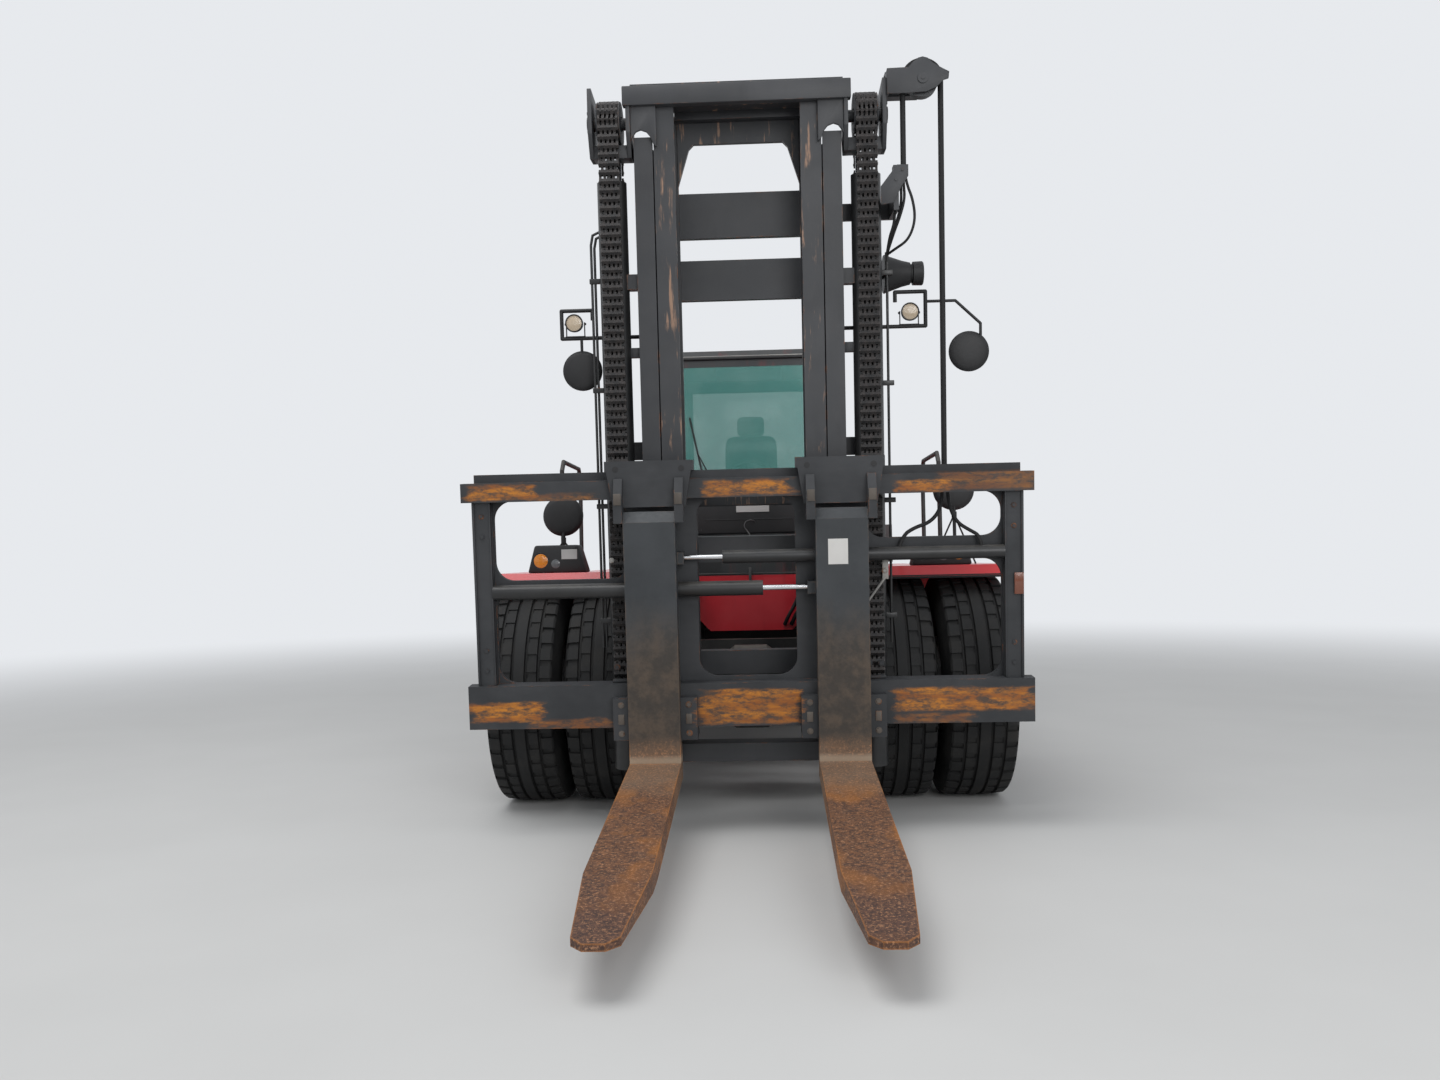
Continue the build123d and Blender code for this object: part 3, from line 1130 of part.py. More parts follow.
# Engine housing with the radiator behind, an engine block inside and a lid on top
HOUSING_WALL = 40
LID_HINGE = (DRIVE_Y + RADIATOR_FRONT - 18, LID_Z[1] - 15)
LID_HINGE_X = (-400, 400)
with BuildPart() as engine_housing:
    block(
        (-HOUSING_HALF_WIDTH, HOUSING_HALF_WIDTH),
        (DRIVE_Y + HOUSING_FRONT, DRIVE_Y + RADIATOR_FRONT - 20),
        (FRAME_TOP_Z, LID_Z[0] - SEAT_GAP),
    )
    block(
        (HOUSING_WALL - HOUSING_HALF_WIDTH, HOUSING_HALF_WIDTH - HOUSING_WALL),
        (DRIVE_Y + HOUSING_FRONT + HOUSING_WALL, DRIVE_Y + RADIATOR_FRONT - 60),
        (FRAME_TOP_Z + 40, LID_Z[0]),
        mode=Mode.SUBTRACT,
    )
    block(
        (-HOUSING_HALF_WIDTH, HOUSING_HALF_WIDTH),
        (DRIVE_Y + RADIATOR_FRONT, DRIVE_Y + HOUSING_REAR - 30),
        (FRAME_TOP_Z, LID_Z[1] + 10),
    )
    block(
        (-HOUSING_HALF_WIDTH, HOUSING_HALF_WIDTH),
        (DRIVE_Y + RADIATOR_FRONT - 20, DRIVE_Y + RADIATOR_FRONT),
        (FRAME_TOP_Z, 2000),
    )
    for x in LID_HINGE_X:
        rod((x - 100, *LID_HINGE), (x + 100, *LID_HINGE), 7)
        for near in (x - 100, x + 70):
            block(
                (near, near + 30), (LID_HINGE[0] - 8, DRIVE_Y + RADIATOR_FRONT),
                (LID_HINGE[1] - 8, LID_HINGE[1] + 8),
            )
pieces["engine_housing"] = engine_housing.part
with BuildPart() as engine_block:
    block(
        (-360, 360), (DRIVE_Y + HOUSING_FRONT + 120, DRIVE_Y + RADIATOR_FRONT - 150),
        (FRAME_TOP_Z + 40, 2050),
    )
pieces["engine_block"] = engine_block.part
with BuildPart() as engine_lid:
    with BuildSketch(Plane.XZ.offset(-(DRIVE_Y + HOUSING_FRONT))):
        with BuildLine():
            Polyline(
                (-HOUSING_HALF_WIDTH, LID_Z[0]), (-HOUSING_HALF_WIDTH, LID_Z[1] - 90),
                (-HOUSING_HALF_WIDTH + 90, LID_Z[1]), (HOUSING_HALF_WIDTH - 90, LID_Z[1]),
                (HOUSING_HALF_WIDTH, LID_Z[1] - 90), (HOUSING_HALF_WIDTH, LID_Z[0]), close=True,
            )
        make_face()
    extrude(amount=HOUSING_FRONT - LID_REAR)
    block(
        (HOUSING_WALL - HOUSING_HALF_WIDTH, HOUSING_HALF_WIDTH - HOUSING_WALL),
        (DRIVE_Y + HOUSING_FRONT + HOUSING_WALL, DRIVE_Y + LID_REAR - HOUSING_WALL),
        (LID_Z[0] - 1, LID_Z[1] - 100),
        mode=Mode.SUBTRACT,
    )
    for x in LID_HINGE_X:
        rod((x - 65, *LID_HINGE), (x + 65, *LID_HINGE), 14)
        rod((x - 66, *LID_HINGE), (x + 66, *LID_HINGE), 7 + RUNNING_FIT, mode=Mode.SUBTRACT)
pieces["engine_lid"] = engine_lid.part

# Radiator grille: a frame with slats
with BuildPart() as radiator_grille:
    block(
        (-480, 480), (DRIVE_Y + HOUSING_REAR - 30, DRIVE_Y + HOUSING_REAR - 5), (1640, 2380)
    )
    block(
        (-440, 440), (DRIVE_Y + HOUSING_REAR - 31, DRIVE_Y + HOUSING_REAR), (1680, 2340), mode=Mode.SUBTRACT
    )
    for step in range(10):
        z = 1695 + step * 65
        block((-445, 445), (DRIVE_Y + HOUSING_REAR - 28, DRIVE_Y + HOUSING_REAR - 8), (z, z + 30))
pieces["radiator_grille"] = radiator_grille.part

# Exhaust stack beside the housing
STACK_Y = DRIVE_Y + HOUSING_FRONT + 230
with BuildPart() as exhaust:
    rod((780, STACK_Y, COUNTERWEIGHT_TOP_Z), (780, STACK_Y, 2750), 90)
    rod((780, STACK_Y, 2750), (780, STACK_Y, 3150), 55)
pieces["exhaust"] = exhaust.part

# Head lamps and indicators on the fenders, rear lamps on the counterweight
with BuildPart() as road_lamps:
    for side in (-1, 1):
        front_plate(
            [(side * 1080, 1560), (side * 1135, 1745), (side * 1430, 1745), (side * 1478, 1560)],
            (DRIVE_Y - 330, DRIVE_Y - 150),
        )
        block(
            (side * 1000, side * 1200), (REAR_Y - 330, REAR_Y - 230),
            (COUNTERWEIGHT_TOP_Z, COUNTERWEIGHT_TOP_Z + 110),
        )
pieces["road_lamps"] = road_lamps.part

# Mirrors on stalks above the fenders
with BuildPart() as fender_mirrors:
    for side, x, z in ((-1, 1280, 1950), (1, 1410, 2070)):
        rod((side * x, DRIVE_Y - 60, 1560), (side * x, DRIVE_Y - 60, z), 14)
        rod((side * x, DRIVE_Y - 80, z), (side * x, DRIVE_Y - 50, z), 140)
pieces["fender_mirrors"] = fender_mirrors.part

# Handrails beside the steps
with BuildPart() as handrails:
    for side in (-1, 1):
        x = side * (TANK_X[1] + 20)
        mitred(
            [
                (x, DRIVE_Y + 1250, DECK_TOP_Z), (x, DRIVE_Y + 1250, 2370),
                (x, DRIVE_Y + 1330, 2450), (x, DRIVE_Y + 2070, 2450),
                (x, DRIVE_Y + 2150, 2370), (x, DRIVE_Y + 2150, DECK_TOP_Z),
            ],
            18,
        )
pieces["handrails"] = handrails.part

os.makedirs("parts", exist_ok=True)
for label, piece in pieces.items():
    piece.label = label
    export_step(piece, f"parts/{label}.step")
print(len(pieces), "pieces")
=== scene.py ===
# %% [markdown]
# # Dressing a heavy forklift truck
#
# The frame of this scene is a finished CAD model of the truck. This lesson gives it what CAD leaves out:
# worn paint, rust, tyre treads, chain links, hoses, bolts, lamps and a seat. Each cell first says what the
# real thing is like, then how it could be made, and then makes it.

import json
from math import atan, cos, pi, radians, sin

import bmesh
import bpy
from mathutils import Matrix, Vector


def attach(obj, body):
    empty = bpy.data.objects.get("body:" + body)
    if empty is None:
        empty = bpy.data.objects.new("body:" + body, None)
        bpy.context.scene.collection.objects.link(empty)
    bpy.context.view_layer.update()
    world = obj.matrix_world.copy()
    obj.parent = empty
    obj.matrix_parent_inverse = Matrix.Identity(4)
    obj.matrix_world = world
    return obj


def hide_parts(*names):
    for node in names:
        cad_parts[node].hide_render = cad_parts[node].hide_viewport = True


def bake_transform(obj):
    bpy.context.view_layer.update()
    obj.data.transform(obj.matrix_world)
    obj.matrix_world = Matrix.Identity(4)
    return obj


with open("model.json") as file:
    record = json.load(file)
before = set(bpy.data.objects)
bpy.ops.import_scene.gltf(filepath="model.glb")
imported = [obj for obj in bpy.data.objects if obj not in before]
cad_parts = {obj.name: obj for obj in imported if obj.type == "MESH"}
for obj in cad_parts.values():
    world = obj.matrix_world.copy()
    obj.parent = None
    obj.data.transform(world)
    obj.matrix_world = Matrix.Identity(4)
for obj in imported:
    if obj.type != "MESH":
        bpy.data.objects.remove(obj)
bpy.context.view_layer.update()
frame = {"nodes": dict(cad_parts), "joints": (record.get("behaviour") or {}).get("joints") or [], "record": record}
nodes = frame["nodes"]
joints = {joint["name"]: joint for joint in frame["joints"]}


def added(name, data):
    """A new object with this data, put into the scene."""
    piece = bpy.data.objects.new(name, data)
    bpy.context.scene.collection.objects.link(piece)
    return piece


# %% [markdown]
# ## Where things are
#
# X runs across the truck, Y from the fork tips to the counterweight and Z up, in metres. The axles and the
# mast's pivot are read from the joints. The mast is parked leaning 5 degrees forward, so its pieces are
# modelled upright, which keeps the numbers simple, and then leaned about the pivot.

# %% Places read from the joints
AXLE_Y = joints["drive_wheel_left_spin"]["pos_m"][1]
STEER_Y = joints["steering_left"]["pos_m"][1]
AXLE_Z = joints["drive_wheel_left_spin"]["pos_m"][2]
PIVOT = Vector(joints["mast_tilt"]["pos_m"])
MAST_UP = Vector(joints["mast_lift"]["axis"])
LEAN = -atan(MAST_UP.y / MAST_UP.z)
AXLE_TO_FACE = 1.25
FACE_Y = AXLE_Y - AXLE_TO_FACE
FORK_TOP_Z = 0.522
MAST_FRONT_Y = FACE_Y + 0.300
MAST_DEPTH = 0.300
MAST_REAR_Y = MAST_FRONT_Y + MAST_DEPTH
PLATE_Y = FACE_Y + 0.205
BAR_Y = FACE_Y + 0.115
LIFT_Y = FACE_Y + 0.3675
HOSE_Y = FACE_Y + 0.290
SIDES = (-1, 1)
PAIRS = ((-1, "left"), (1, "right"))
FORWARD, UP = (0, -1, 0), (0, 0, 1)


def lean_matrix():
    """The turn about the pivot that takes an upright mast piece to where it is parked."""
    return Matrix.Translation(PIVOT) @ Matrix.Rotation(LEAN, 4, "X") @ Matrix.Translation(-PIVOT)


def leaned(x, y, z):
    """Where a point of the upright mast lies on the parked truck."""
    return lean_matrix() @ Vector((x, y, z))


print("fork face", round(FACE_Y, 3), "lean", round(LEAN, 4))

# %% [markdown]
# ## The camera
#
# The photograph is taken by hand from in front of the forks, at head height, with a wide phone lens. The
# width of the forks and the horizon give its place. It points slightly up and to the left, and it is
# tipped a little clockwise. Focal length in pixels becomes millimetres on a 36 mm sensor.

# %% Camera
PICTURE_WIDTH = 1440
FOCAL_PIXELS = 1108
SENSOR_WIDTH = 36
EYE_X, EYE_Z = 0.103, 1.637
EYE_AHEAD = 6.44
YAW, PITCH, ROLL = radians(2.24), radians(0.925), radians(-1.204)
camera_data = bpy.data.cameras.new("camera")
camera_data.sensor_width = SENSOR_WIDTH
camera_data.lens = SENSOR_WIDTH * FOCAL_PIXELS / PICTURE_WIDTH
camera = added("camera", camera_data)
camera.matrix_world = (
    Matrix.Translation((EYE_X, FACE_Y - EYE_AHEAD, EYE_Z))
    @ Matrix.Rotation(YAW, 4, "Z")
    @ Matrix.Rotation(pi / 2 + PITCH, 4, "X")
    @ Matrix.Rotation(ROLL, 4, "Z")
)
bpy.context.scene.camera = camera
bpy.context.scene.view_settings.view_transform = "Standard"

# %% [markdown]
# ## Writing shaders as arithmetic
#
# A worn paint is a few masks multiplied and mixed. Written as node links that is hard to read, so one small
# class wraps a socket and turns +, - and * into Math nodes. `node` adds any other node: its settings are
# set first, and then its sockets.

# %% Shader helpers


class Value:
    """A shader socket that can be added, multiplied and so on."""

    def __init__(self, tree, socket):
        self.tree = tree
        self.socket = socket

    def maths(self, operation, *values, clamp=False):
        return node(self.tree, "ShaderNodeMath", {"operation": operation, "use_clamp": clamp}, values)

    def __add__(self, other):
        return self.maths("ADD", self, other)

    __radd__ = __add__

    def __sub__(self, other):
        return self.maths("SUBTRACT", self, other)

    def __rsub__(self, other):
        return self.maths("SUBTRACT", other, self)

    def __mul__(self, other):
        return self.maths("MULTIPLY", self, other)

    __rmul__ = __mul__

    def clamped(self):
        return self.maths("ADD", self, 0.0, clamp=True)

    def between(self, low, high):
        """0 below low, 1 above high and a smooth step from one to the other."""
        settings = {"interpolation_type": "SMOOTHSTEP"}
        return node(self.tree, "ShaderNodeMapRange", settings, {0: self, 1: low, 2: high, 3: 0.0, 4: 1.0})


def node(tree, kind, settings=None, inputs=(), output=0):
    """Adds a node, makes its settings, fills its sockets and returns one of its outputs."""
    made = tree.nodes.new(kind)
    for key, value in (settings or {}).items():
        setattr(made, key, value)
    pairs = inputs.items() if isinstance(inputs, dict) else enumerate(inputs)
    for key, value in pairs:
        if isinstance(value, Value):
            tree.links.new(value.socket, made.inputs[key])
        else:
            made.inputs[key].default_value = value
    return Value(tree, made.outputs[output])


def shader(name):
    """A new material with an empty node tree, and its Principled shader."""
    material = bpy.data.materials.new(name)
    material.use_nodes = True
    tree = material.node_tree
    surface = next(n for n in tree.nodes if n.type == "BSDF_PRINCIPLED")
    return material, tree, surface


def place(tree):
    """The point's own place on the truck, in metres."""
    return node(tree, "ShaderNodeTexCoord", output=3)


def axes(tree, point):
    """The X, Y and Z of a point as three values."""
    split = node(tree, "ShaderNodeSeparateXYZ", inputs=[point])
    parts = split.socket.node.outputs
    return [Value(tree, parts[i]) for i in range(3)]


def stretched(tree, point, scale):
    """A point scaled by a different amount along each axis, for streaks."""
    return node(tree, "ShaderNodeMapping", inputs={"Vector": point, "Scale": scale})


def noise(tree, point, scale, detail=4.0, roughness=0.55):
    inputs = {"Vector": point, "Scale": scale, "Detail": detail, "Roughness": roughness}
    return node(tree, "ShaderNodeTexNoise", inputs=inputs)


def streaky(tree, point, scale, detail=4.0, roughness=0.55):
    """Noise with its own scale along each axis."""
    return noise(tree, stretched(tree, point, scale), 1.0, detail, roughness)


def within(value, low, high, soft):
    """1 between two limits and 0 outside them, with soft ends."""
    return value.between(low - soft, low + soft) * (1 - value.between(high - soft, high + soft))


def mix(tree, share, first, second):
    """The first colour where share is 0, the second where it is 1."""
    settings = {"data_type": "RGBA"}
    colours = [c if isinstance(c, Value) else (*c, 1.0) for c in (first, second)]
    return node(tree, "ShaderNodeMix", settings, {0: share, 6: colours[0], 7: colours[1]}, output=2)


def connect(surface, **sockets):
    """Fills the Principled shader's sockets, named with _ for a space."""
    for key, value in sockets.items():
        socket = surface.inputs[key.replace("_", " ")]
        if isinstance(value, Value):
            value.tree.links.new(value.socket, socket)
        else:
            socket.default_value = (*value, 1.0) if isinstance(value, tuple) else value


def bump(tree, height, strength, distance=0.002):
    return node(tree, "ShaderNodeBump", inputs={"Strength": strength, "Distance": distance, "Height": height})


# %% [markdown]
# ## Edge wear
#
# Paint goes first at the edges. The Bevel node gives the normal that a rounded edge would have. Where it
# differs from the true normal there is an edge near, and the difference is a mask for bare steel. On the
# chain plates the same mask lays a painted highlight along the edges.

# %% Edge mask


def edges(tree, radius):
    """1 at a sharp edge, falling to 0 at the radius from it."""
    rounded = node(tree, "ShaderNodeBevel", {"samples": 4}, {"Radius": radius})
    true = node(tree, "ShaderNodeNewGeometry", output=1)
    likeness = node(tree, "ShaderNodeVectorMath", {"operation": "DOT_PRODUCT"}, [rounded, true], output=1)
    return (1 - likeness).between(0.02, 0.25)


# %% [markdown]
# ## Paints and metals
#
# Everything painted on this truck shares one recipe: a base colour with slow changes of tone, dust that
# settles on faces that look up, chips that grow from the edges, and rust in the chips.

# %% Worn paint
RUST_DARK = (0.060, 0.028, 0.016)
RUST_LIGHT = (0.330, 0.115, 0.035)
BARE_STEEL = (0.230, 0.200, 0.175)
DUST = (0.300, 0.270, 0.230)
CHARCOAL = (0.022, 0.024, 0.026)
RUN_COLOUR = (0.360, 0.215, 0.140)


def rust_colour(tree, point):
    """Rust from dark brown to orange, in small patches."""
    return mix(tree, noise(tree, point, 26.0, 5.0, 0.7).between(0.38, 0.66), RUST_DARK, RUST_LIGHT)


def worn_paint(
    name, colour, second, wear=0.3, edge=0.012, rust=0.5, dust=0.15, roughness=0.45, coat=0.0, above=None,
    streaks=0.0,
):
    """A paint with tone changes, dust on top and chips along its edges that show steel and rust.

    Above the height in `above` it is charcoal, and `streaks` lets rust run down it.
    """
    material, tree, surface = shader(name)
    point = place(tree)
    tone = noise(tree, point, 2.2, 3.0).between(0.3, 0.7)
    paint = mix(tree, tone, colour, second)
    if above is not None:
        paint = mix(tree, axes(tree, point)[2].between(above - 0.002, above + 0.002), paint, CHARCOAL)
    grime = streaky(tree, point, (9, 9, 1.6), 5.0, 0.6).between(0.52, 0.8)
    paint = mix(tree, grime * 0.35, paint, tuple(v * 0.45 for v in colour))
    speckle = noise(tree, point, 34.0, 6.0, 0.65)
    near_edge = edges(tree, edge) * noise(tree, point, 7.0, 4.0, 0.6).between(0.46, 0.66)
    chips = (near_edge * 0.5 + speckle * 0.75 + wear * 0.5 - 0.28).between(0.52, 0.66)
    rusted = noise(tree, point, 11.0, 4.0).between(0.5 - 0.4 * rust, 0.75 - 0.3 * rust)
    metal = mix(tree, rusted, BARE_STEEL, rust_colour(tree, point))
    up = axes(tree, node(tree, "ShaderNodeNewGeometry", output=1))[2].between(0.3, 0.95)
    dusty = (up * dust * 2 + dust * 0.4) * noise(tree, point, 6.0, 4.0).between(0.25, 0.7)
    colours = mix(tree, dusty.clamped(), mix(tree, chips, paint, metal), DUST)
    if streaks:
        runs = streaky(tree, point, (30, 30, 1.0), 4.0, 0.6).between(0.53, 0.64)
        spots = streaky(tree, point, (11, 11, 3), 5.0, 0.65).between(0.47, 0.60)
        colours = mix(tree, runs * spots * streaks, colours, RUN_COLOUR)
    fine = noise(tree, point, 90.0, 3.0)
    connect(
        surface,
        Base_Color=colours,
        Roughness=(roughness + fine * 0.12 + chips * 0.2 + dusty * 0.5).clamped(),
        Metallic=chips * 0.35,
        Normal=bump(tree, fine * 0.25 + speckle * 0.2 - chips * 0.7, 0.35),
        Coat_Weight=coat,
    )
    return material


paint_table = [
    # slot, colour, second colour, wear, edge, rust, dust, roughness, coat
    ("mast_paint", (0.026, 0.028, 0.032), (0.042, 0.044, 0.049), 0.30, 0.012, 0.6, 0.06, 0.45, 0.0),
    ("chassis_black", (0.010, 0.010, 0.011), (0.020, 0.020, 0.021), 0.05, 0.012, 0.5, 0.14, 0.45, 0.0),
    ("cylinder_paint", (0.010, 0.011, 0.012), (0.020, 0.021, 0.023), 0.08, 0.012, 0.5, 0.08, 0.32, 0.0),
    ("counterweight_grey", (0.050, 0.050, 0.053), (0.070, 0.070, 0.073), 0.10, 0.012, 0.5, 0.20, 0.45, 0.0),
    ("body_red", (0.520, 0.010, 0.018), (0.600, 0.018, 0.026), 0.00, 0.006, 0.5, 0.05, 0.28, 0.3),
    ("rim_paint", (0.120, 0.122, 0.128), (0.180, 0.182, 0.188), 0.15, 0.012, 0.5, 0.25, 0.40, 0.0),
    ("engine_paint", (0.060, 0.060, 0.065), (0.090, 0.090, 0.095), 0.10, 0.012, 0.5, 0.10, 0.45, 0.0),
]
paints = {row[0]: worn_paint(row[0].replace("_", " "), *row[1:]) for row in paint_table}
print(len(paints), "paints")

# %% [markdown]
# ## The carriage and its yellow bars
#
# The carriage was once painted orange-yellow on its bars and dark elsewhere. Containers and pallets have
# rubbed it for years, so orange is left only in patches on the front of the bars, with rust and dark primer
# around them. Boxes in the truck's own coordinates say where the patches are, and noise frays their edges.

# %% Carriage paint
ORANGE = (0.560, 0.205, 0.022)
ORANGE_DEEP = (0.300, 0.095, 0.018)
PRIMER, PRIMER_PALE = (0.024, 0.026, 0.029), (0.042, 0.044, 0.048)
SCRAPED_BROWN, SCRAPED_GREY = (0.150, 0.078, 0.040), (0.040, 0.036, 0.032)
bar_patches = [
    # x low, x high, z low, z high, strength
    (-1.62, -1.20, 2.005, 2.085, 1.00),
    (-1.20, -0.86, 1.995, 2.030, 0.45),
    (-0.22, 0.26, 2.000, 2.085, 0.90),
    (0.88, 1.16, 1.995, 2.060, 1.00),
    (1.12, 1.66, 2.000, 2.110, 0.42),
    (-1.66, -1.22, 0.690, 0.800, 1.00),
    (-1.30, -0.84, 0.640, 0.700, 0.60),
    (-0.30, 0.30, 0.660, 0.860, 1.00),
    (0.86, 1.66, 0.720, 0.850, 1.00),
    (0.86, 1.30, 0.650, 0.700, 0.50),
]


def carriage_paint():
    """Dark primer with orange left in patches on the front of the bars."""
    material, tree, surface = shader("carriage paint")
    point = place(tree)
    x, _, z = axes(tree, point)
    frayed = streaky(tree, point, (5, 5, 14), 6.0, 0.7) - 0.5
    patches = None
    for low_x, high_x, low_z, high_z, strength in bar_patches:
        across = within(x + frayed * 0.30, low_x, high_x, 0.03)
        patch = across * within(z + frayed * 0.06, low_z, high_z, 0.012) * strength
        patches = patch if patches is None else patch.maths("MAXIMUM", patches, patch)
    facing = axes(tree, node(tree, "ShaderNodeNewGeometry", output=1))[1].between(-0.95, -0.6)
    patches = patches * (1 - facing)
    blotch = streaky(tree, point, (11, 11, 30), 8.0, 0.72)
    grain = streaky(tree, point, (40, 40, 90), 4.0, 0.6)
    smudge = streaky(tree, point, (7, 7, 22), 6.0, 0.68)
    orange = patches * (blotch * 0.7 + smudge * 0.5 + grain * 0.25).between(0.60, 0.82)
    near_edge = edges(tree, 0.010) * noise(tree, point, 6.0, 4.0).between(0.46, 0.62)
    chips = (near_edge * 0.45 + blotch * 0.8 - 0.1).between(0.52, 0.66)
    dark = mix(tree, noise(tree, point, 3.0, 3.0).between(0.3, 0.7), PRIMER, PRIMER_PALE)
    wear_and_highlight = mix(tree, chips * 0.75, dark, rust_colour(tree, point))
    grimy = mix(tree, patches * 0.7, wear_and_highlight, mix(tree, grain, SCRAPED_BROWN, SCRAPED_GREY))
    yellow = mix(tree, streaky(tree, point, (3, 3, 30)).between(0.35, 0.65), ORANGE, ORANGE_DEEP)
    connect(
        surface,
        Base_Color=mix(tree, orange, grimy, yellow),
        Roughness=(0.55 + blotch * 0.25).clamped(),
        Metallic=chips * 0.2,
        Normal=bump(tree, blotch * 0.6 - chips * 0.5, 0.5),
    )
    return material


paints["carriage_paint"] = carriage_paint()

# %% [markdown]
# ## Fork steel
#
# A fork is forged steel. The shank keeps its dark paint, which thins to brown scale lower down, and the
# blade has lost all of it: orange rust in pits, with steel rubbed smooth between them. The height and the
# distance to the tip drive the change.

# %% Fork steel
FORK_PAINT, FORK_PAINT_PALE = (0.026, 0.030, 0.034), (0.040, 0.045, 0.050)
SCALE_DARK, SCALE_PALE = (0.055, 0.047, 0.040), (0.100, 0.076, 0.057)
PIT_DARK, PIT_PALE = (0.070, 0.036, 0.024), (0.235, 0.105, 0.050)
FRESH_RUST, OLD_RUST = (0.420, 0.160, 0.030), (0.200, 0.080, 0.030)
SPOT = (0.100, 0.066, 0.050)
TIP_DARK, TIP_PALE = (0.052, 0.028, 0.024), (0.120, 0.062, 0.045)
HEEL_PALE, HEEL_DARK = (0.300, 0.215, 0.150), (0.150, 0.095, 0.060)
SPECK_PALE, SPECK_DARK = (0.520, 0.270, 0.140), (0.060, 0.038, 0.032)
RIM_RUST, SHANK_EDGE, HEEL_HIGHLIGHT = (0.480, 0.190, 0.045), (0.160, 0.100, 0.062), (0.430, 0.340, 0.250)


def fork_steel():
    """Painted above, scaled below and rusty along the blade, with a painted highlight at the heel."""
    material, tree, surface = shader("fork steel")
    point = place(tree)
    _, y, z = axes(tree, point)
    ragged = streaky(tree, point, (6, 6, 1.5), 5.0, 0.6) - 0.5
    painted = (z + ragged * 0.5).between(0.95, 1.45)
    blade = 1 - (z + ragged * 0.1).between(0.48, 0.62)
    pits = noise(tree, point, 42.0, 8.0, 0.72)
    spots = noise(tree, point, 9.0, 6.0, 0.7)
    paint = mix(tree, noise(tree, point, 3.0, 3.0).between(0.3, 0.7), FORK_PAINT, FORK_PAINT_PALE)
    scale = mix(tree, spots.between(0.4, 0.65), SCALE_DARK, SCALE_PALE)
    patches = streaky(tree, point, (3.2, 2.0, 3.0), 5.0, 0.6)
    rust = mix(tree, pits.between(0.40, 0.64), PIT_DARK, PIT_PALE)
    rust = mix(tree, patches.between(0.50, 0.62) * 0.85, rust, mix(tree, pits, FRESH_RUST, OLD_RUST))
    rust = mix(tree, spots.between(0.50, 0.70) * 0.5, rust, SPOT)
    tip = 1 - (y + ragged * 0.6).between(FACE_Y - 2.2, FACE_Y - 1.5)
    rust = mix(tree, tip * 0.8, rust, mix(tree, pits.between(0.42, 0.6), TIP_DARK, TIP_PALE))
    heel = (y + ragged * 0.5).between(FACE_Y - 0.75, FACE_Y - 0.25)
    rust = mix(tree, heel * 0.7, rust, mix(tree, spots, HEEL_PALE, HEEL_DARK))
    specks = noise(tree, point, 75.0, 5.0, 0.75)
    rust = mix(tree, specks.between(0.52, 0.64) * 0.75, rust, SPECK_PALE)
    rust = mix(tree, (1 - specks).between(0.55, 0.68) * 0.6, rust, SPECK_DARK)
    near_edge = edges(tree, 0.014)
    rust = mix(tree, near_edge * (patches.between(0.40, 0.55) + tip).clamped() * 0.85, rust, RIM_RUST)
    # A pale band along the heel's bend is a painted highlight, where the inner corner catches the light.
    heel_z = leaned(0, FACE_Y, FORK_TOP_Z).z
    fading = (z + ragged * 0.02).between(heel_z + 0.022, heel_z + 0.060)
    heel_highlight = z.between(heel_z - 0.004, heel_z + 0.010) * (1 - fading)
    shank = mix(tree, painted, scale, paint)
    shank = mix(tree, near_edge * noise(tree, point, 14.0, 5.0).between(0.42, 0.6) * 0.7, shank, SHANK_EDGE)
    connect(
        surface,
        Base_Color=mix(tree, heel_highlight * 0.75, mix(tree, blade, shank, rust), HEEL_HIGHLIGHT),
        Roughness=(0.5 + pits * 0.4 - painted * 0.15).clamped(),
        Metallic=(1 - painted) * 0.25,
        Normal=bump(tree, pits * (0.4 + blade * 0.9) + spots * blade * 0.6, 0.55, 0.003),
    )
    return material


paints["fork_steel"] = fork_steel()

# %% [markdown]
# ## Chrome, chain steel, rubber, plastic, glass
#
# The smaller materials each need one thing that tells them apart: chrome is nearly smooth, chain steel is
# greasy brown, rubber is dusty in patches, plastic is grained and glass is slightly teal.

# %% Small materials


def chrome():
    material, tree, surface = shader("chrome")
    smear = noise(tree, place(tree), 24.0, 4.0)
    connect(
        surface,
        Base_Color=mix(tree, smear, (0.62, 0.63, 0.65), (0.78, 0.79, 0.80)),
        Metallic=1.0,
        Roughness=0.08 + smear * 0.14,
    )
    return material


def chain_steel():
    material, tree, surface = shader("chain steel")
    point = place(tree)
    grease = noise(tree, point, 30.0, 5.0)
    colour = mix(tree, grease.between(0.35, 0.7), (0.011, 0.011, 0.012), (0.034, 0.029, 0.028))
    # Lighter plate edges: partly wear, partly a painted highlight where the rounded plate ends catch the light from
    # above.
    wear_and_highlight = edges(tree, 0.005)
    connect(
        surface,
        Base_Color=mix(tree, wear_and_highlight * 0.75, colour, (0.125, 0.110, 0.105)),
        Metallic=0.4,
        Roughness=0.38 + grease * 0.3,
        Normal=bump(tree, grease, 0.3, 0.001),
    )
    return material


def rubber(name, colour, dust):
    material, tree, surface = shader(name)
    point = place(tree)
    film = noise(tree, point, 5.0, 5.0, 0.6)
    fine = noise(tree, point, 120.0, 3.0)
    connect(
        surface,
        Base_Color=mix(tree, film.between(0.4, 0.8) * dust, colour, (0.110, 0.100, 0.088)),
        Roughness=0.62 + film * 0.25,
        Normal=bump(tree, fine, 0.25, 0.001),
    )
    return material


def plastic(name, colour):
    material, tree, surface = shader(name)
    point = place(tree)
    grain = noise(tree, point, 260.0, 2.0)
    tone = noise(tree, point, 5.0, 3.0)
    connect(
        surface,
        Base_Color=mix(tree, tone.between(0.3, 0.75), colour, tuple(v * 1.35 + 0.004 for v in colour)),
        Roughness=0.5 + grain * 0.12,
        Normal=bump(tree, grain, 0.2, 0.0005),
    )
    return material


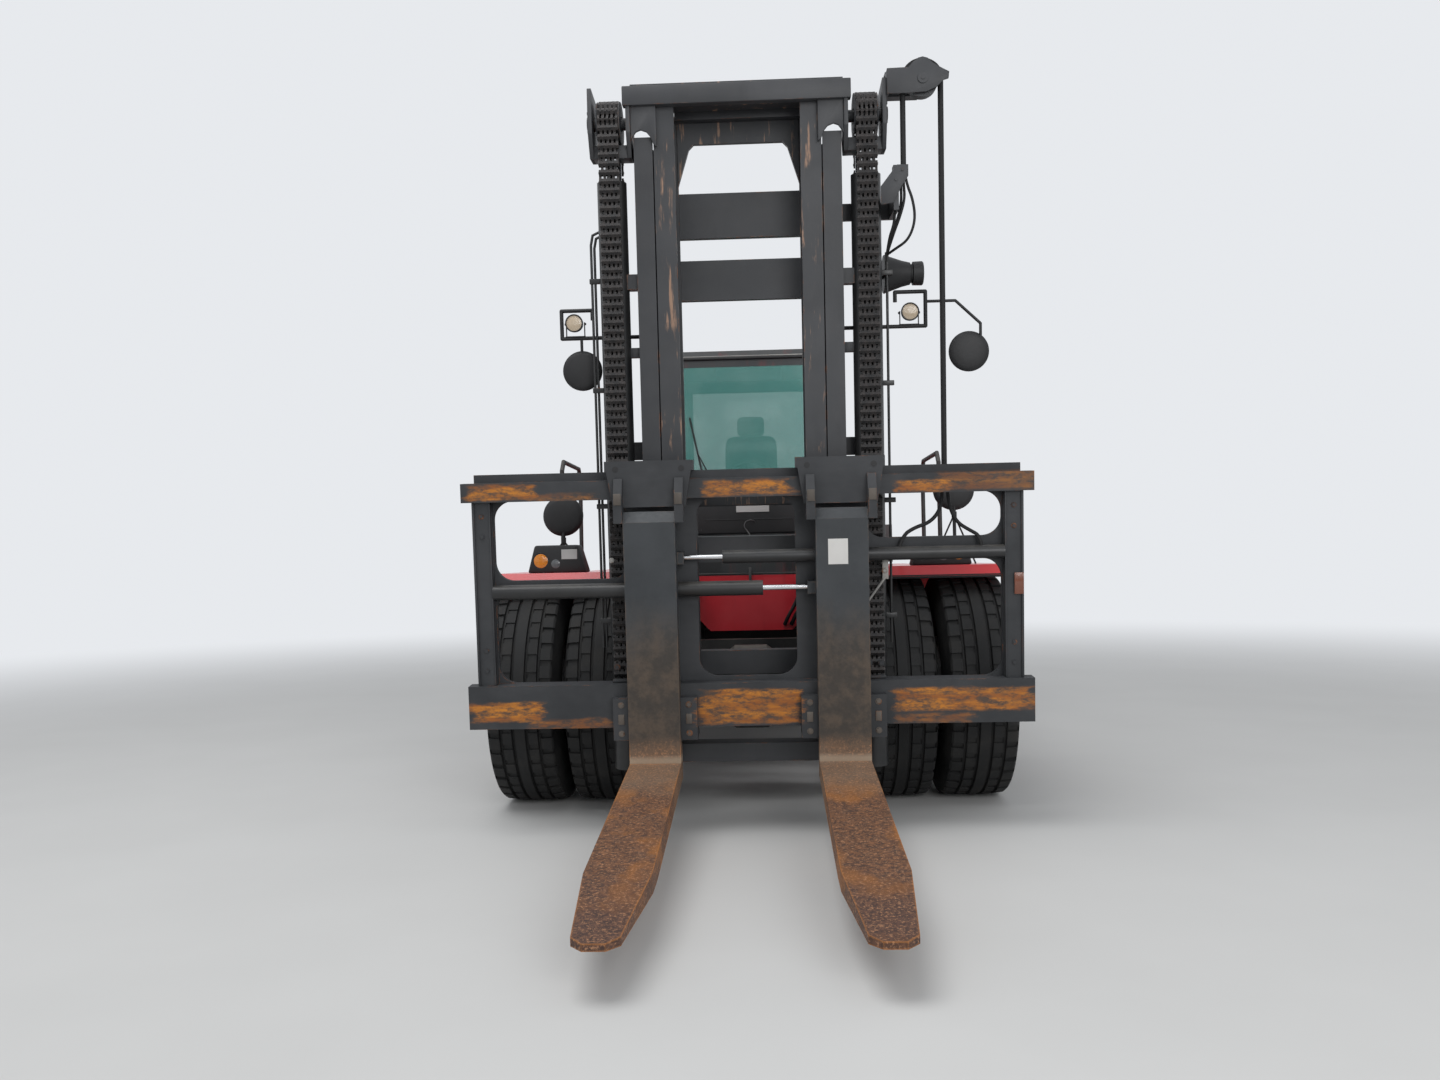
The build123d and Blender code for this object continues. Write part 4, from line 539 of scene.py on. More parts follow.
def glass():
    material, tree, surface = shader("cab glass")
    point = place(tree)
    film = noise(tree, point, 3.0, 4.0).between(0.4, 0.8)
    connect(
        surface,
        Base_Color=mix(tree, film * 0.3, (0.150, 0.420, 0.380), (0.360, 0.560, 0.520)),
        Roughness=0.04 + film * 0.05,
        Alpha=0.44 + film * 0.06,
    )
    material.surface_render_method = "BLENDED"
    return material


def mirror_glass():
    material, tree, surface = shader("mirror glass")
    haze = noise(tree, place(tree), 20.0, 3.0)
    silver = mix(tree, haze, (0.70, 0.73, 0.74), (0.80, 0.82, 0.83))
    connect(surface, Base_Color=silver, Metallic=1.0, Roughness=0.03 + haze * 0.05)
    return material


def lens(name, colour):
    """A ribbed lamp lens: clear plastic over a pattern of fine flutes."""
    material, tree, surface = shader(name)
    inputs = {"Vector": place(tree), "Scale": 60.0, "Distortion": 0.0}
    flutes = node(tree, "ShaderNodeTexWave", {"bands_direction": "X"}, inputs, output=1)
    connect(
        surface,
        Base_Color=mix(tree, flutes * 0.5, colour, tuple(v * 0.6 for v in colour)),
        Roughness=0.15,
        Normal=bump(tree, flutes, 0.4, 0.001),
        Coat_Weight=0.5,
    )
    return material


def seat_cloth():
    """Woven cloth: two crossed waves make the threads."""
    material, tree, surface = shader("seat cloth")
    point = place(tree)
    inputs = {"Vector": point, "Scale": 130.0, "Distortion": 0.6}
    threads = [node(tree, "ShaderNodeTexWave", {"bands_direction": way}, inputs, output=1) for way in "XZ"]
    weave = threads[0] * threads[1]
    connect(
        surface,
        Base_Color=mix(tree, weave, (0.016, 0.016, 0.018), (0.045, 0.045, 0.050)),
        Roughness=0.9,
        Sheen_Weight=0.25,
        Normal=bump(tree, weave, 0.5, 0.0008),
    )
    return material


def stained_steel():
    material, tree, surface = shader("exhaust steel")
    point = place(tree)
    heat = streaky(tree, point, (4, 4, 1), 5.0).between(0.35, 0.7)
    connect(
        surface,
        Base_Color=mix(tree, heat, (0.30, 0.28, 0.26), (0.14, 0.09, 0.06)),
        Metallic=0.8,
        Roughness=0.35 + heat * 0.3,
    )
    return material


paints["chrome"] = chrome()
paints["chain_steel"] = chain_steel()
paints["tyre_rubber"] = rubber("tyre rubber", (0.0055, 0.0058, 0.0062), 0.16)
paints["hose_rubber"] = rubber("hose rubber", (0.007, 0.007, 0.008), 0.08)
paints["black_plastic"] = plastic("black plastic", (0.009, 0.009, 0.010))
paints["glass"] = glass()
paints["mirror"] = mirror_glass()
paints["lamp_lens"] = lens("beige lens", (0.62, 0.50, 0.36))
paints["seat_fabric"] = seat_cloth()
paints["exhaust_steel"] = stained_steel()
amber = lens("amber lens", (0.85, 0.28, 0.02))
red_lens = lens("red lens", (0.55, 0.02, 0.02))
dark_lens = lens("dark lens", (0.130, 0.140, 0.150))
zinc = worn_paint("zinc", (0.28, 0.27, 0.26), (0.38, 0.37, 0.35), wear=0.15, rust=0.6, roughness=0.35)
rusty_zinc = worn_paint(
    "rusty zinc", (0.070, 0.058, 0.048), (0.130, 0.108, 0.090), wear=0.5, rust=0.9, roughness=0.55
)
plate_metal = worn_paint(
    "plate metal", (0.46, 0.45, 0.44), (0.56, 0.55, 0.54), wear=0.05, dust=0.1, roughness=0.3
)
label_paper = worn_paint(
    "label paper", (0.66, 0.65, 0.63), (0.74, 0.73, 0.70), wear=0.0, rust=0.2, dust=0.3, roughness=0.6
)
reflector = lens("old reflector", (0.20, 0.060, 0.030))
print(len(paints), "finishes")

# %% [markdown]
# ## Paint the CAD pieces
#
# Each CAD node takes the finish of its material slot in the record. A few differ within their slot: the cab
# and the cowl are red below and charcoal above, and rust runs down the inner mast.

# %% Dress the nodes
RED, RED_BRIGHT = (0.640, 0.012, 0.026), (0.720, 0.024, 0.040)
CAB_BLACK_Z, COWL_BLACK_Z = 2.300, 1.502
gloss = {"wear": 0.0, "edge": 0.006, "dust": 0.05, "roughness": 0.3, "coat": 0.2}
cab_paint = worn_paint("cab paint", RED, RED_BRIGHT, above=CAB_BLACK_Z, **gloss)
cowl_paint = worn_paint("cowl paint", RED, RED_BRIGHT, above=COWL_BLACK_Z, **gloss)
inner_paint = worn_paint(
    "inner mast paint", (0.026, 0.028, 0.032), (0.042, 0.044, 0.049), wear=0.32, rust=0.6, dust=0.06, streaks=0.85
)
special = {
    "cab_frame": cab_paint,
    "cab_door_left": cab_paint,
    "cab_door_right": cab_paint,
    "front_cowl": cowl_paint,
    "inner_mast": inner_paint,
}
slot_of = {part["node"]: part["material_slot"] for part in frame["record"]["subparts"]}
for name, piece in nodes.items():
    piece.data.materials.clear()
    piece.data.materials.append(special.get(name, paints[slot_of[name]]))

# %% [markdown]
# ## Small modelling helpers
#
# Every new piece starts as an empty bmesh. `slab`, `bar` and `bolt` add simple forms, slabs with real
# bevels, and `finish` turns the bmesh into an object that rides on its body. Mast pieces pass `mast=True`,
# which leans them last.

# %% Modelling helpers


def rounded(bm, verts, bevel, segments=2):
    """Rounds every edge that meets one of these points."""
    rim = list({e for v in verts for e in v.link_edges})
    bmesh.ops.bevel(
        bm, geom=rim, offset=bevel, offset_type="OFFSET", segments=segments, profile=0.5, affect="EDGES", material=-1
    )


def slab(bm, low, high, bevel=0.0, segments=2):
    """A block between two corners, with rounded edges if bevel is given."""
    low, high = Vector(map(min, zip(low, high))), Vector(map(max, zip(low, high)))
    spread = Matrix.Translation((low + high) / 2) @ Matrix.Diagonal((*(high - low), 1))
    verts = bmesh.ops.create_cube(bm, size=1.0, matrix=spread)["verts"]
    if bevel:
        rounded(bm, verts, bevel, segments)


def bar(bm, start, end, radius, end_radius=None, sides=20):
    """A round bar or cone from one point to another."""
    start, end = Vector(start), Vector(end)
    turn = (end - start).to_track_quat("Z", "Y").to_matrix().to_4x4()
    bmesh.ops.create_cone(
        bm, cap_ends=True, segments=sides, radius1=radius, radius2=radius if end_radius is None else end_radius,
        depth=(end - start).length, matrix=Matrix.Translation((start + end) / 2) @ turn,
    )


def bolt(bm, at, outwards, size=0.012, height=0.010):
    """A hexagon head on a washer."""
    at, outwards = Vector(at), Vector(outwards)
    bar(bm, at, at + outwards * height * 0.25, size * 1.35, sides=16)
    bar(bm, at + outwards * height * 0.25, at + outwards * height, size, size * 0.94, sides=6)


def finish(bm, name, body, slot, material=None, mast=False, angle=35, replaces=()):
    """Turns a bmesh into an object that rides on a body, in its finish."""
    if mast:
        bmesh.ops.transform(bm, matrix=lean_matrix(), verts=bm.verts)
    bmesh.ops.recalc_face_normals(bm, faces=bm.faces)
    for face in bm.faces:
        face.smooth = True
    mesh = bpy.data.meshes.new(name)
    bm.to_mesh(mesh)
    bm.free()
    mesh.set_sharp_from_angle(angle=radians(angle))
    piece = added(name, mesh)
    mesh.materials.append(material or paints[slot])
    if body:
        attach(piece, body)
    if replaces:
        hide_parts(*replaces)
    return piece


# %% [markdown]
# ## Tyres
#
# These are pneumatic tyres with a rib tread: five ribs with four grooves that run round, slots in the
# shoulder ribs, and a smooth bulging wall down to the rim. Half a section is drawn, mirrored and spun round
# the axle, and the slots are faces of the tread pushed inwards.

# %% Tyres
TREAD_STEPS = 120
SHOULDER_RIB, INNER_RIB = (0.135, 0.205), (0.055, 0.111)
SLOT_DEPTH, SIPE_DEPTH = 0.014, 0.008
half_section = [
    # x from the middle, radius
    (0.000, 0.7465), (0.032, 0.7465), (0.037, 0.7265), (0.049, 0.7265), (0.054, 0.7462),
    (0.112, 0.7450), (0.117, 0.7260), (0.129, 0.7258), (0.134, 0.7435), (0.196, 0.7370),
    (0.208, 0.7270), (0.214, 0.7020), (0.221, 0.6750), (0.230, 0.6400), (0.2370, 0.5900),
    (0.2390, 0.5500), (0.2340, 0.5000), (0.2210, 0.4500), (0.2040, 0.4080), (0.1900, 0.3800),
    (0.1840, 0.3560), (0.1700, 0.3300), (0.1560, 0.3220),
]


def tyre(bm, centre, axle_y):
    """One tyre, spun from its section."""
    section = [(-x, r) for x, r in reversed(half_section)] + half_section[1:]
    verts = [bm.verts.new((centre + x, axle_y, AXLE_Z + r)) for x, r in section]
    wire = [bm.edges.new(pair) for pair in zip(verts, verts[1:] + verts[:1])]
    axle = (centre, axle_y, AXLE_Z)
    bmesh.ops.spin(
        bm, geom=verts + wire, cent=axle, axis=(1, 0, 0), angle=2 * pi, steps=TREAD_STEPS, use_merge=True
    )


def tyres(name, centres, axle_y, body, node_name):
    """The tyres of one side of an axle, with slots cut into their tread."""
    bm = bmesh.new()
    for centre in centres:
        tyre(bm, centre, axle_y)
    bm.faces.ensure_lookup_table()
    slots, sipes = [], []
    step = 2 * pi / TREAD_STEPS
    for face in bm.faces:
        middle = face.calc_center_median()
        offset = min((abs(middle.x - centre) for centre in centres))
        radius = Vector((middle.y - axle_y, middle.z - AXLE_Z)).length
        turn = Vector((0, 1)).angle_signed(Vector((middle.y - axle_y, middle.z - AXLE_Z)), 0.0)
        index = round(turn / step - 0.5)
        if radius > 0.73 and SHOULDER_RIB[0] < offset < SHOULDER_RIB[1] and index % 3 == 0:
            slots.append(face)
        elif radius > 0.74 and INNER_RIB[0] < offset < INNER_RIB[1] and index % 3 == 1:
            sipes.append(face)
    for faces, depth in ((slots, SLOT_DEPTH), (sipes, SIPE_DEPTH)):
        pushed = bmesh.ops.extrude_face_region(bm, geom=faces)
        bmesh.ops.delete(bm, geom=faces, context="FACES_KEEP_BOUNDARY")
        for vert in [g for g in pushed["geom"] if isinstance(g, bmesh.types.BMVert)]:
            inwards = Vector((0, axle_y - vert.co.y, AXLE_Z - vert.co.z)).normalized()
            vert.co += inwards * depth
    finish(bm, name, body, "tyre_rubber", angle=30, replaces=[node_name])


WHEEL_X, TWIN_PITCH = 1.210, 0.508
for side, word in PAIRS:
    twins = [side * (WHEEL_X - TWIN_PITCH / 2), side * (WHEEL_X + TWIN_PITCH / 2)]
    tyres(f"drive_tread_{word}", twins, AXLE_Y, f"drive_wheel_{word}", f"drive_tyres_{word}")
    steer_x = joints[f"steer_wheel_{word}_spin"]["pos_m"][0]
    tyres(f"steer_tread_{word}", [steer_x], STEER_Y, f"steer_wheel_{word}", f"steer_tyre_{word}")

# %% [markdown]
# ## Leaf chains
#
# A leaf chain is stacks of flat plates on pins. Plates on even places join pins 0-1, 2-3 and so on, and
# those on odd places 1-2, 3-4, like bricks. A plate is round about its pins and narrow between them, which
# gives the strand its bands. The strands run from the carriage up over the pulleys and down to the mast.

# %% Leaf chains
CHAIN_X = 0.750
CHAIN_R = 0.110
CHAIN_PITCH = 0.0508
PLATE_PLACES = 9
STRAND_WIDTH = 0.118
PLATE_THICK, PLATE_GAP = STRAND_WIDTH / PLATE_PLACES, 0.0002
PIN_REACH = 0.062
PLATE_HALF_DEPTH = 0.020
PLATE_WAIST = 0.009
PULLEY_Z = 4.271
CHAIN_ANCHOR_Z = 0.960
REAR_ANCHOR_Z = 2.400


def link_plate(bm, matrix, thick):
    """One plate: round ends about two pins and a narrow waist between them, given a thickness."""
    outline = []
    for end in SIDES:
        for k in range(-2, 3):
            turn = k * pi / 4
            out, up = PLATE_HALF_DEPTH * cos(turn), PLATE_HALF_DEPTH * sin(turn)
            outline.append((end * (CHAIN_PITCH / 2 + out), end * up))
        outline.append((0, end * PLATE_WAIST))
    verts = [bm.verts.new((x, y, 0)) for x, y in outline]
    made = bmesh.ops.extrude_face_region(bm, geom=[bm.faces.new(verts)])
    top = [g for g in made["geom"] if isinstance(g, bmesh.types.BMVert)]
    bmesh.ops.translate(bm, vec=(0, 0, thick), verts=top)
    bmesh.ops.transform(bm, matrix=matrix, verts=verts + top)


def chain(bm, side, pins):
    """Links between successive pins, each given as (y, z)."""
    for k in range(len(pins) - 1):
        a, b = Vector((0, *pins[k])), Vector((0, *pins[k + 1]))
        along = (b - a).normalized()
        across = Vector((1, 0, 0))
        turn = Matrix((along, across.cross(along) * -1, across)).transposed().to_4x4()
        middle = (a + b) / 2
        for spot in range(k % 2, PLATE_PLACES, 2):
            x = side * CHAIN_X - STRAND_WIDTH / 2 + spot * PLATE_THICK + PLATE_GAP
            link_plate(bm, Matrix.Translation((x, middle.y, middle.z)) @ turn, PLATE_THICK - 2 * PLATE_GAP)
        near, far = side * CHAIN_X - PIN_REACH, side * CHAIN_X + PIN_REACH
        bar(bm, (near, a.y, a.z), (far, a.y, a.z), 0.008, sides=8)


def straight_pins(y, low, high):
    count = round((high - low) / CHAIN_PITCH)
    return [(y, low + (high - low) * k / count) for k in range(count + 1)]


front, rear, crown = bmesh.new(), bmesh.new(), bmesh.new()
CROWN_LINKS = 7
for side in SIDES:
    chain(front, side, straight_pins(LIFT_Y - CHAIN_R, CHAIN_ANCHOR_Z, PULLEY_Z))
    chain(rear, side, straight_pins(LIFT_Y + CHAIN_R, REAR_ANCHOR_Z, PULLEY_Z))
    turns = [pi * k / CROWN_LINKS for k in range(CROWN_LINKS + 1)]
    chain(crown, side, [(LIFT_Y - CHAIN_R * cos(t), PULLEY_Z + CHAIN_R * sin(t)) for t in turns])
chain_front = finish(front, "chain_strands_front", None, "chain_steel", mast=True, replaces=["chains_front"])
chain_rear = finish(rear, "chain_strands_rear", None, "chain_steel", mast=True, replaces=["chains_rear"])
finish(crown, "chain_crowns", "mast_inner", "chain_steel", mast=True)
leaned(0, LIFT_Y - CHAIN_R, PULLEY_Z)
leaned(0, LIFT_Y - CHAIN_R, CHAIN_ANCHOR_Z)
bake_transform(chain_front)
leaned(0, LIFT_Y + CHAIN_R, REAR_ANCHOR_Z)
leaned(0, LIFT_Y + CHAIN_R, PULLEY_Z)
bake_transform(chain_rear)

# %% [markdown]
# ## Turned forms and pipes
#
# Lamps, mirrors and caps are turned on a lathe or pressed round. A section is drawn as distances along the
# axis and from it, then spun all the way round and closed at the poles. A pipe is straight runs with a
# ball at each corner. A plate is a flat outline made solid, along the truck or across it.

# %% Turned forms and pipes


def spun(bm, centre, axis, section, steps=32):
    """A turned form. The section's points are (along the axis, distance from it)."""
    before = set(bm.verts)
    turn = Vector(axis).to_track_quat("Z", "Y").to_matrix().to_4x4()
    verts = [bm.verts.new(Matrix.Translation(centre) @ turn @ Vector((r, 0, a))) for a, r in section]
    wire = [bm.edges.new(pair) for pair in zip(verts, verts[1:])]
    bmesh.ops.spin(bm, geom=verts + wire, cent=centre, axis=axis, angle=2 * pi, steps=steps, use_merge=True)
    made = [v for v in bm.verts if v not in before]
    bmesh.ops.remove_doubles(bm, verts=made, dist=0.00005)


def pipe(bm, points, radius, sides=12):
    """Straight round runs with a ball at each corner."""
    for start, end in zip(points, points[1:]):
        bar(bm, start, end, radius, sides=sides)
    for corner in points[1:-1]:
        bmesh.ops.create_icosphere(bm, subdivisions=2, radius=radius * 1.01, matrix=Matrix.Translation(corner))


def extruded(bm, corners, shift, bevel=0.0):
    """A flat outline made solid by a shift, with rounded edges if bevel is given."""
    face = bm.faces.new([bm.verts.new(corner) for corner in corners])
    made = bmesh.ops.extrude_face_region(bm, geom=[face])["geom"]
    moved = [g for g in made if isinstance(g, bmesh.types.BMVert)]
    bmesh.ops.translate(bm, vec=shift, verts=moved)
    if bevel:
        rounded(bm, list(face.verts) + moved, bevel)


def prism(bm, outline, low_y, high_y, bevel=0.0):
    """An outline of (x, z) points made solid from low_y to high_y."""
    extruded(bm, [(x, low_y, z) for x, z in outline], (0, high_y - low_y, 0), bevel)


def cheek(bm, outline, near_x, far_x, bevel=0.0):
    """An outline of (y, z) points made solid from near_x to far_x."""
    extruded(bm, [(near_x, y, z) for y, z in outline], (far_x - near_x, 0, 0), bevel)


def round_places(y, z, radius, count, first=0.0):
    """Places in a circle, as (y, z)."""
    turns = [first + 2 * pi * k / count for k in range(count)]
    return [(y + radius * cos(turn), z + radius * sin(turn)) for turn in turns]


def louvres(bm, low, high, count):
    """Slats between two corners, one above the other."""
    step = (high[2] - low[2]) / count
    for k in range(count):
        near = (low[0], low[1], low[2] + step * (k + 0.2))
        slab(bm, near, (high[0], high[1], low[2] + step * (k + 0.7)), 0.004, 1)


print("helpers ready")

# %% [markdown]
# ## Hoses
#
# A hydraulic hose is a stiff rubber pipe that keeps one smooth curve. Each is a NURBS curve through its own
# route, as thick as the hose.

# %% Hose helper


def hose(name, body, route, diameter, slot="hose_rubber", mast=False):
    """A hose that lies free between two fittings."""
    at = [leaned(*p) if mast else Vector(p) for p in route]
    data = bpy.data.curves.new(name, "CURVE")
    data.dimensions = "3D"
    data.resolution_u = 6
    spline = data.splines.new("NURBS")
    spline.points.add(len(at) - 1)
    for point, where in zip(spline.points, at):
        point.co = (*where, 1.0)
    spline.order_u = 3
    spline.use_endpoint_u = True
    piece = added(name, data)
    line = bpy.data.meshes.new_from_object(piece)
    data.bevel_depth = diameter / 2
    data.bevel_resolution = 3
    data.use_fill_caps = True
    data.materials.append(paints[slot])
    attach(piece, body)


# %% [markdown]
# ## The hoses over the sheave
#
# Two hoses run from a clamp on the outer mast up over the sheave and down to the carriage, so their straight
# strands stretch as the mast rises. Below the clamp four of them hang in loops to steel pipes beside the
# lift cylinder, and behind the carriage's right window they turn towards the positioning cylinders.

# %% Mast hoses
SHEAVE_X, SHEAVE_Z, SHEAVE_R = 1.071, 4.430, 0.109
CLAMP_Z = 3.955
BRACKET_Z = 2.210
PIPE_X, PIPE_LOW_Z, PIPE_TOP_Z = 0.872, 1.150, 3.480
PIPE_Y = LIFT_Y + 0.030
for name, old, x, low_z, body in (
    ("strand_to_clamp", "hoses_inner", SHEAVE_X - SHEAVE_R, CLAMP_Z, "mast_outer"),
    ("strand_to_carriage", "hoses_outer", SHEAVE_X + SHEAVE_R, BRACKET_Z, "fork_carriage"),
):
    bm = bmesh.new()
    for offset in (-0.016, 0.016):
        bar(bm, (x, HOSE_Y + offset, low_z), (x, HOSE_Y + offset, SHEAVE_Z), 0.014, sides=16)
    strand = finish(bm, name, None, "hose_rubber", mast=True, replaces=[old])
    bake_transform(strand)

loops = [
    # name, Y from the strands, then X and Z of the route down from the clamp
    ("loop_hose_outer", -0.020, [
        (0.968, 3.910), (0.976, 3.850), (1.012, 3.760), (1.026, 3.640), (0.985, 3.530), (0.915, 3.490),
    ]),
    ("loop_hose_second", -0.004, [(0.960, 3.910), (0.962, 3.845), (0.968, 3.770), (0.940, 3.670), (0.905, 3.580)]),
    ("loop_hose_third", 0.013, [(0.950, 3.910), (0.948, 3.840), (0.950, 3.750), (0.925, 3.650), (0.890, 3.570)]),
    ("loop_hose_inner", 0.024, [(0.913, 3.700), (0.910, 3.660), (0.900, 3.610), (0.882, 3.560)]),
]
for name, offset, route in loops:
    y = HOSE_Y + offset
    turned = [max(0, k + 2 - len(route)) / 2.5 for k in range(len(route))]
    points = [(x, y + (PIPE_Y - y) * share, z) for share, (x, z) in zip(turned, route)]
    hose(name, "mast_outer", points + [(PIPE_X, PIPE_Y, PIPE_TOP_Z - 0.010)], 0.016, mast=True)

bm = bmesh.new()
for side in SIDES:
    for k in range(2):
        x, y = side * (PIPE_X - 0.001 + 0.020 * k), PIPE_Y
        if side < 0:
            top = 3.640 + 0.020 * k
            route = [(x, y, PIPE_LOW_Z), (x, y, top - 0.080), (x + 0.012, y, top - 0.022), (x + 0.060, y, top)]
            pipe(bm, route, 0.008)
        elif k == 0:
            bar(bm, (x, y, PIPE_LOW_Z), (x, y, PIPE_TOP_Z), 0.008, sides=12)
            bar(bm, (x, y, PIPE_TOP_Z - 0.050), (x, y, PIPE_TOP_Z + 0.004), 0.0125, sides=6)
    for z in (1.300, 2.000, 2.700, 3.350):
        slab(bm, (side * 0.826, PIPE_Y - 0.014, z), (side * 0.905, PIPE_Y + 0.014, z + 0.030), 0.003)
finish(bm, "mast_pipes", "mast_outer", "cylinder_paint", mast=True)

bm = bmesh.new()
clamp_outline = [
    (0.985, 3.955), (0.920, 3.955), (0.826, 3.835), (0.826, 3.730), (0.900, 3.740), (0.945, 3.830), (0.985, 3.890),
]
prism(bm, clamp_outline, HOSE_Y - 0.042, HOSE_Y - 0.032, 0.002)
for x, z in ((0.950, 3.925), (0.912, 3.870)):
    bolt(bm, (x, HOSE_Y - 0.042, z), FORWARD, 0.008, 0.006)
finish(bm, "clamp_plate", "mast_outer", "mast_paint", mast=True)

bm = bmesh.new()
spun(bm, (0.862, MAST_REAR_Y - 0.080, 3.375), (1, 0, 0), [
    (0, 0), (0, 0.112), (0.006, 0.116), (0.012, 0.112), (0.110, 0.078), (0.160, 0.066), (0.164, 0.056),
    (0.172, 0.056), (0.176, 0.070), (0.232, 0.072), (0.238, 0.066), (0.238, 0.050), (0.230, 0.046), (0.230, 0),
])
slab(bm, (0.600, MAST_REAR_Y - 0.105, 3.350), (0.864, MAST_REAR_Y - 0.055, 3.400), 0.004)
finish(bm, "mast_horn", "mast_outer", "black_plastic", mast=True)

port_y = FACE_Y + 0.160
window_y = FACE_Y + 0.217
hose("carriage_hose_left", "fork_carriage", [
    (1.164, HOSE_Y, 2.150), (1.166, HOSE_Y - 0.004, 2.060), (1.150, window_y + 0.030, 1.960),
    (1.085, window_y, 1.885), (0.990, window_y - 0.008, 1.856), (0.917, port_y + 0.028, 1.812),
    (0.890, port_y, 1.735),
], 0.022, mast=True)
hose("carriage_hose_right", "fork_carriage", [
    (1.196, HOSE_Y, 2.150), (1.196, HOSE_Y - 0.004, 2.060), (1.205, window_y + 0.030, 1.960),
    (1.240, window_y, 1.880), (1.310, window_y - 0.015, 1.835), (1.362, port_y + 0.006, 1.805),
    (1.370, port_y, 1.748),
], 0.022, mast=True)

# %% [markdown]
# ## Chain pulleys and the mast's plates
#
# Each chain turns over a flanged drum between the two cheeks of a yoke. A plate covers the front of the top
# beam, and under each end of it hangs a gusset with an arched lower edge. The other beams are held by rows
# of bolts, and a guard of bent plate closes the hose sheave.

# %% Chain pulleys
YOKE_BASE_Z = 4.060
YOKE_PLATES = ((0.620, 0.645), (0.842, 0.867))
DRUM_R, FLANGE_R = CHAIN_R - PLATE_HALF_DEPTH - 0.001, CHAIN_R + 0.017
FLANGE_X = 0.061
yoke_outline = [
    (-0.060, YOKE_BASE_Z), (0.060, YOKE_BASE_Z), (0.120, 4.191), (0.120, 4.421), (-0.110, 4.451), (-0.120, 4.191),
]
flange = [(FLANGE_X, DRUM_R), (FLANGE_X + 0.001, FLANGE_R - 0.002), (FLANGE_X + 0.005, FLANGE_R),
          (FLANGE_X + 0.008, FLANGE_R - 0.003), (FLANGE_X + 0.008, 0.050)]
bm = bmesh.new()
for side in SIDES:
    centre = Vector((side * CHAIN_X, LIFT_Y, PULLEY_Z))
    for near, far in YOKE_PLATES:
        cheek(bm, [(LIFT_Y + y, z) for y, z in yoke_outline], side * near, side * far, 0.003)
    slab(bm, (side * 0.620, LIFT_Y - 0.060, YOKE_BASE_Z), (side * 0.867, LIFT_Y + 0.060, PULLEY_Z - 0.135), 0.004)
    bar(bm, (side * 0.640, LIFT_Y, PULLEY_Z), (side * 0.850, LIFT_Y, PULLEY_Z), 0.035, sides=32)
    near_half = [(-x, r) for x, r in reversed(flange)]
    spun(bm, centre, (1, 0, 0), near_half + flange + near_half[:1], 48)
finish(bm, "chain_sheaves", "mast_inner", "mast_paint", mast=True, replaces=["chain_pulleys"])

# %% Mast plates and bolts
bm = bmesh.new()
slab(bm, (-0.662, FACE_Y + 0.242, 4.342), (0.662, FACE_Y + 0.305, 4.452), 0.005)
slab(bm, (-0.378, MAST_FRONT_Y + 0.190, 4.320), (0.378, MAST_REAR_Y - 0.030, 4.372), 0.003)
arch = [
    (0.470, 4.372), (0.470, 4.110), (0.488, 4.125), (0.504, 4.168), (0.528, 4.196), (0.560, 4.208),
    (0.588, 4.198), (0.608, 4.172), (0.619, 4.150), (0.619, 4.372),
]
YOKE_FACE_X = YOKE_PLATES[1][1]
for side in SIDES:
    prism(bm, [(side * x, z) for x, z in arch], MAST_FRONT_Y - 0.032, MAST_FRONT_Y - 0.010, 0.002)
    bolt(bm, (side * 0.605, MAST_FRONT_Y, 4.395), FORWARD, 0.012)
    bar(bm, (side * 0.868, LIFT_Y, PULLEY_Z), (side * 0.882, LIFT_Y, PULLEY_Z), 0.046, sides=24)
    for y, z in round_places(LIFT_Y, PULLEY_Z, 0.075, 4, pi / 4):
        bolt(bm, (side * YOKE_FACE_X, y, z), (side, 0, 0), 0.010)
finish(bm, "mast_top_plates", "mast_inner", "mast_paint", mast=True)

bm = bmesh.new()
for side in SIDES:
    for z in (3.700, 3.850, 3.320, 3.450, 2.030, 2.110, 1.680, 1.760, 0.970, 1.040):
        bolt(bm, (side * 0.552, MAST_REAR_Y + 0.065, z), (0, 1, 0), 0.014)
    for z in (1.500, 2.900):
        slab(bm, (side * 0.606, LIFT_Y - 0.020, z), (side * 0.668, LIFT_Y + 0.020, z + 0.060), 0.004)
finish(bm, "mast_fixings", "mast_outer", "mast_paint", mast=True)

bm = bmesh.new()
guard = [
    (0.867, 4.350), (0.867, 4.492), (0.990, 4.494), (1.015, 4.520), (1.045, 4.544), (1.071, 4.550), (1.100, 4.542),
    (1.130, 4.512), (1.190, 4.478), (1.222, 4.462), (1.218, 4.424), (1.188, 4.416), (1.150, 4.378), (1.090, 4.354),
    (1.000, 4.350),
]
prism(bm, guard, HOSE_Y - 0.060, HOSE_Y - 0.046, 0.002)
bar(bm, (SHEAVE_X, HOSE_Y - 0.068, SHEAVE_Z), (SHEAVE_X, HOSE_Y - 0.058, SHEAVE_Z), 0.030, sides=24)
bar(bm, (SHEAVE_X, HOSE_Y - 0.071, SHEAVE_Z), (SHEAVE_X, HOSE_Y - 0.067, SHEAVE_Z), 0.012, sides=6)
slab(bm, (0.867, HOSE_Y - 0.055, 4.362), (0.885, HOSE_Y + 0.110, 4.490), 0.003)
finish(bm, "sheave_guard", "mast_inner", "mast_paint", mast=True)
print("mast dressed")

# %% [markdown]
# ## Lamps
#
# A work lamp is a round plastic body with a bezel and a ribbed glass. The fender lamps are black moulded
# boxes, each with a round amber indicator, a small blank plate and a dark head lamp. All of them are turned
# or bevelled, with the glass as a piece of its own.

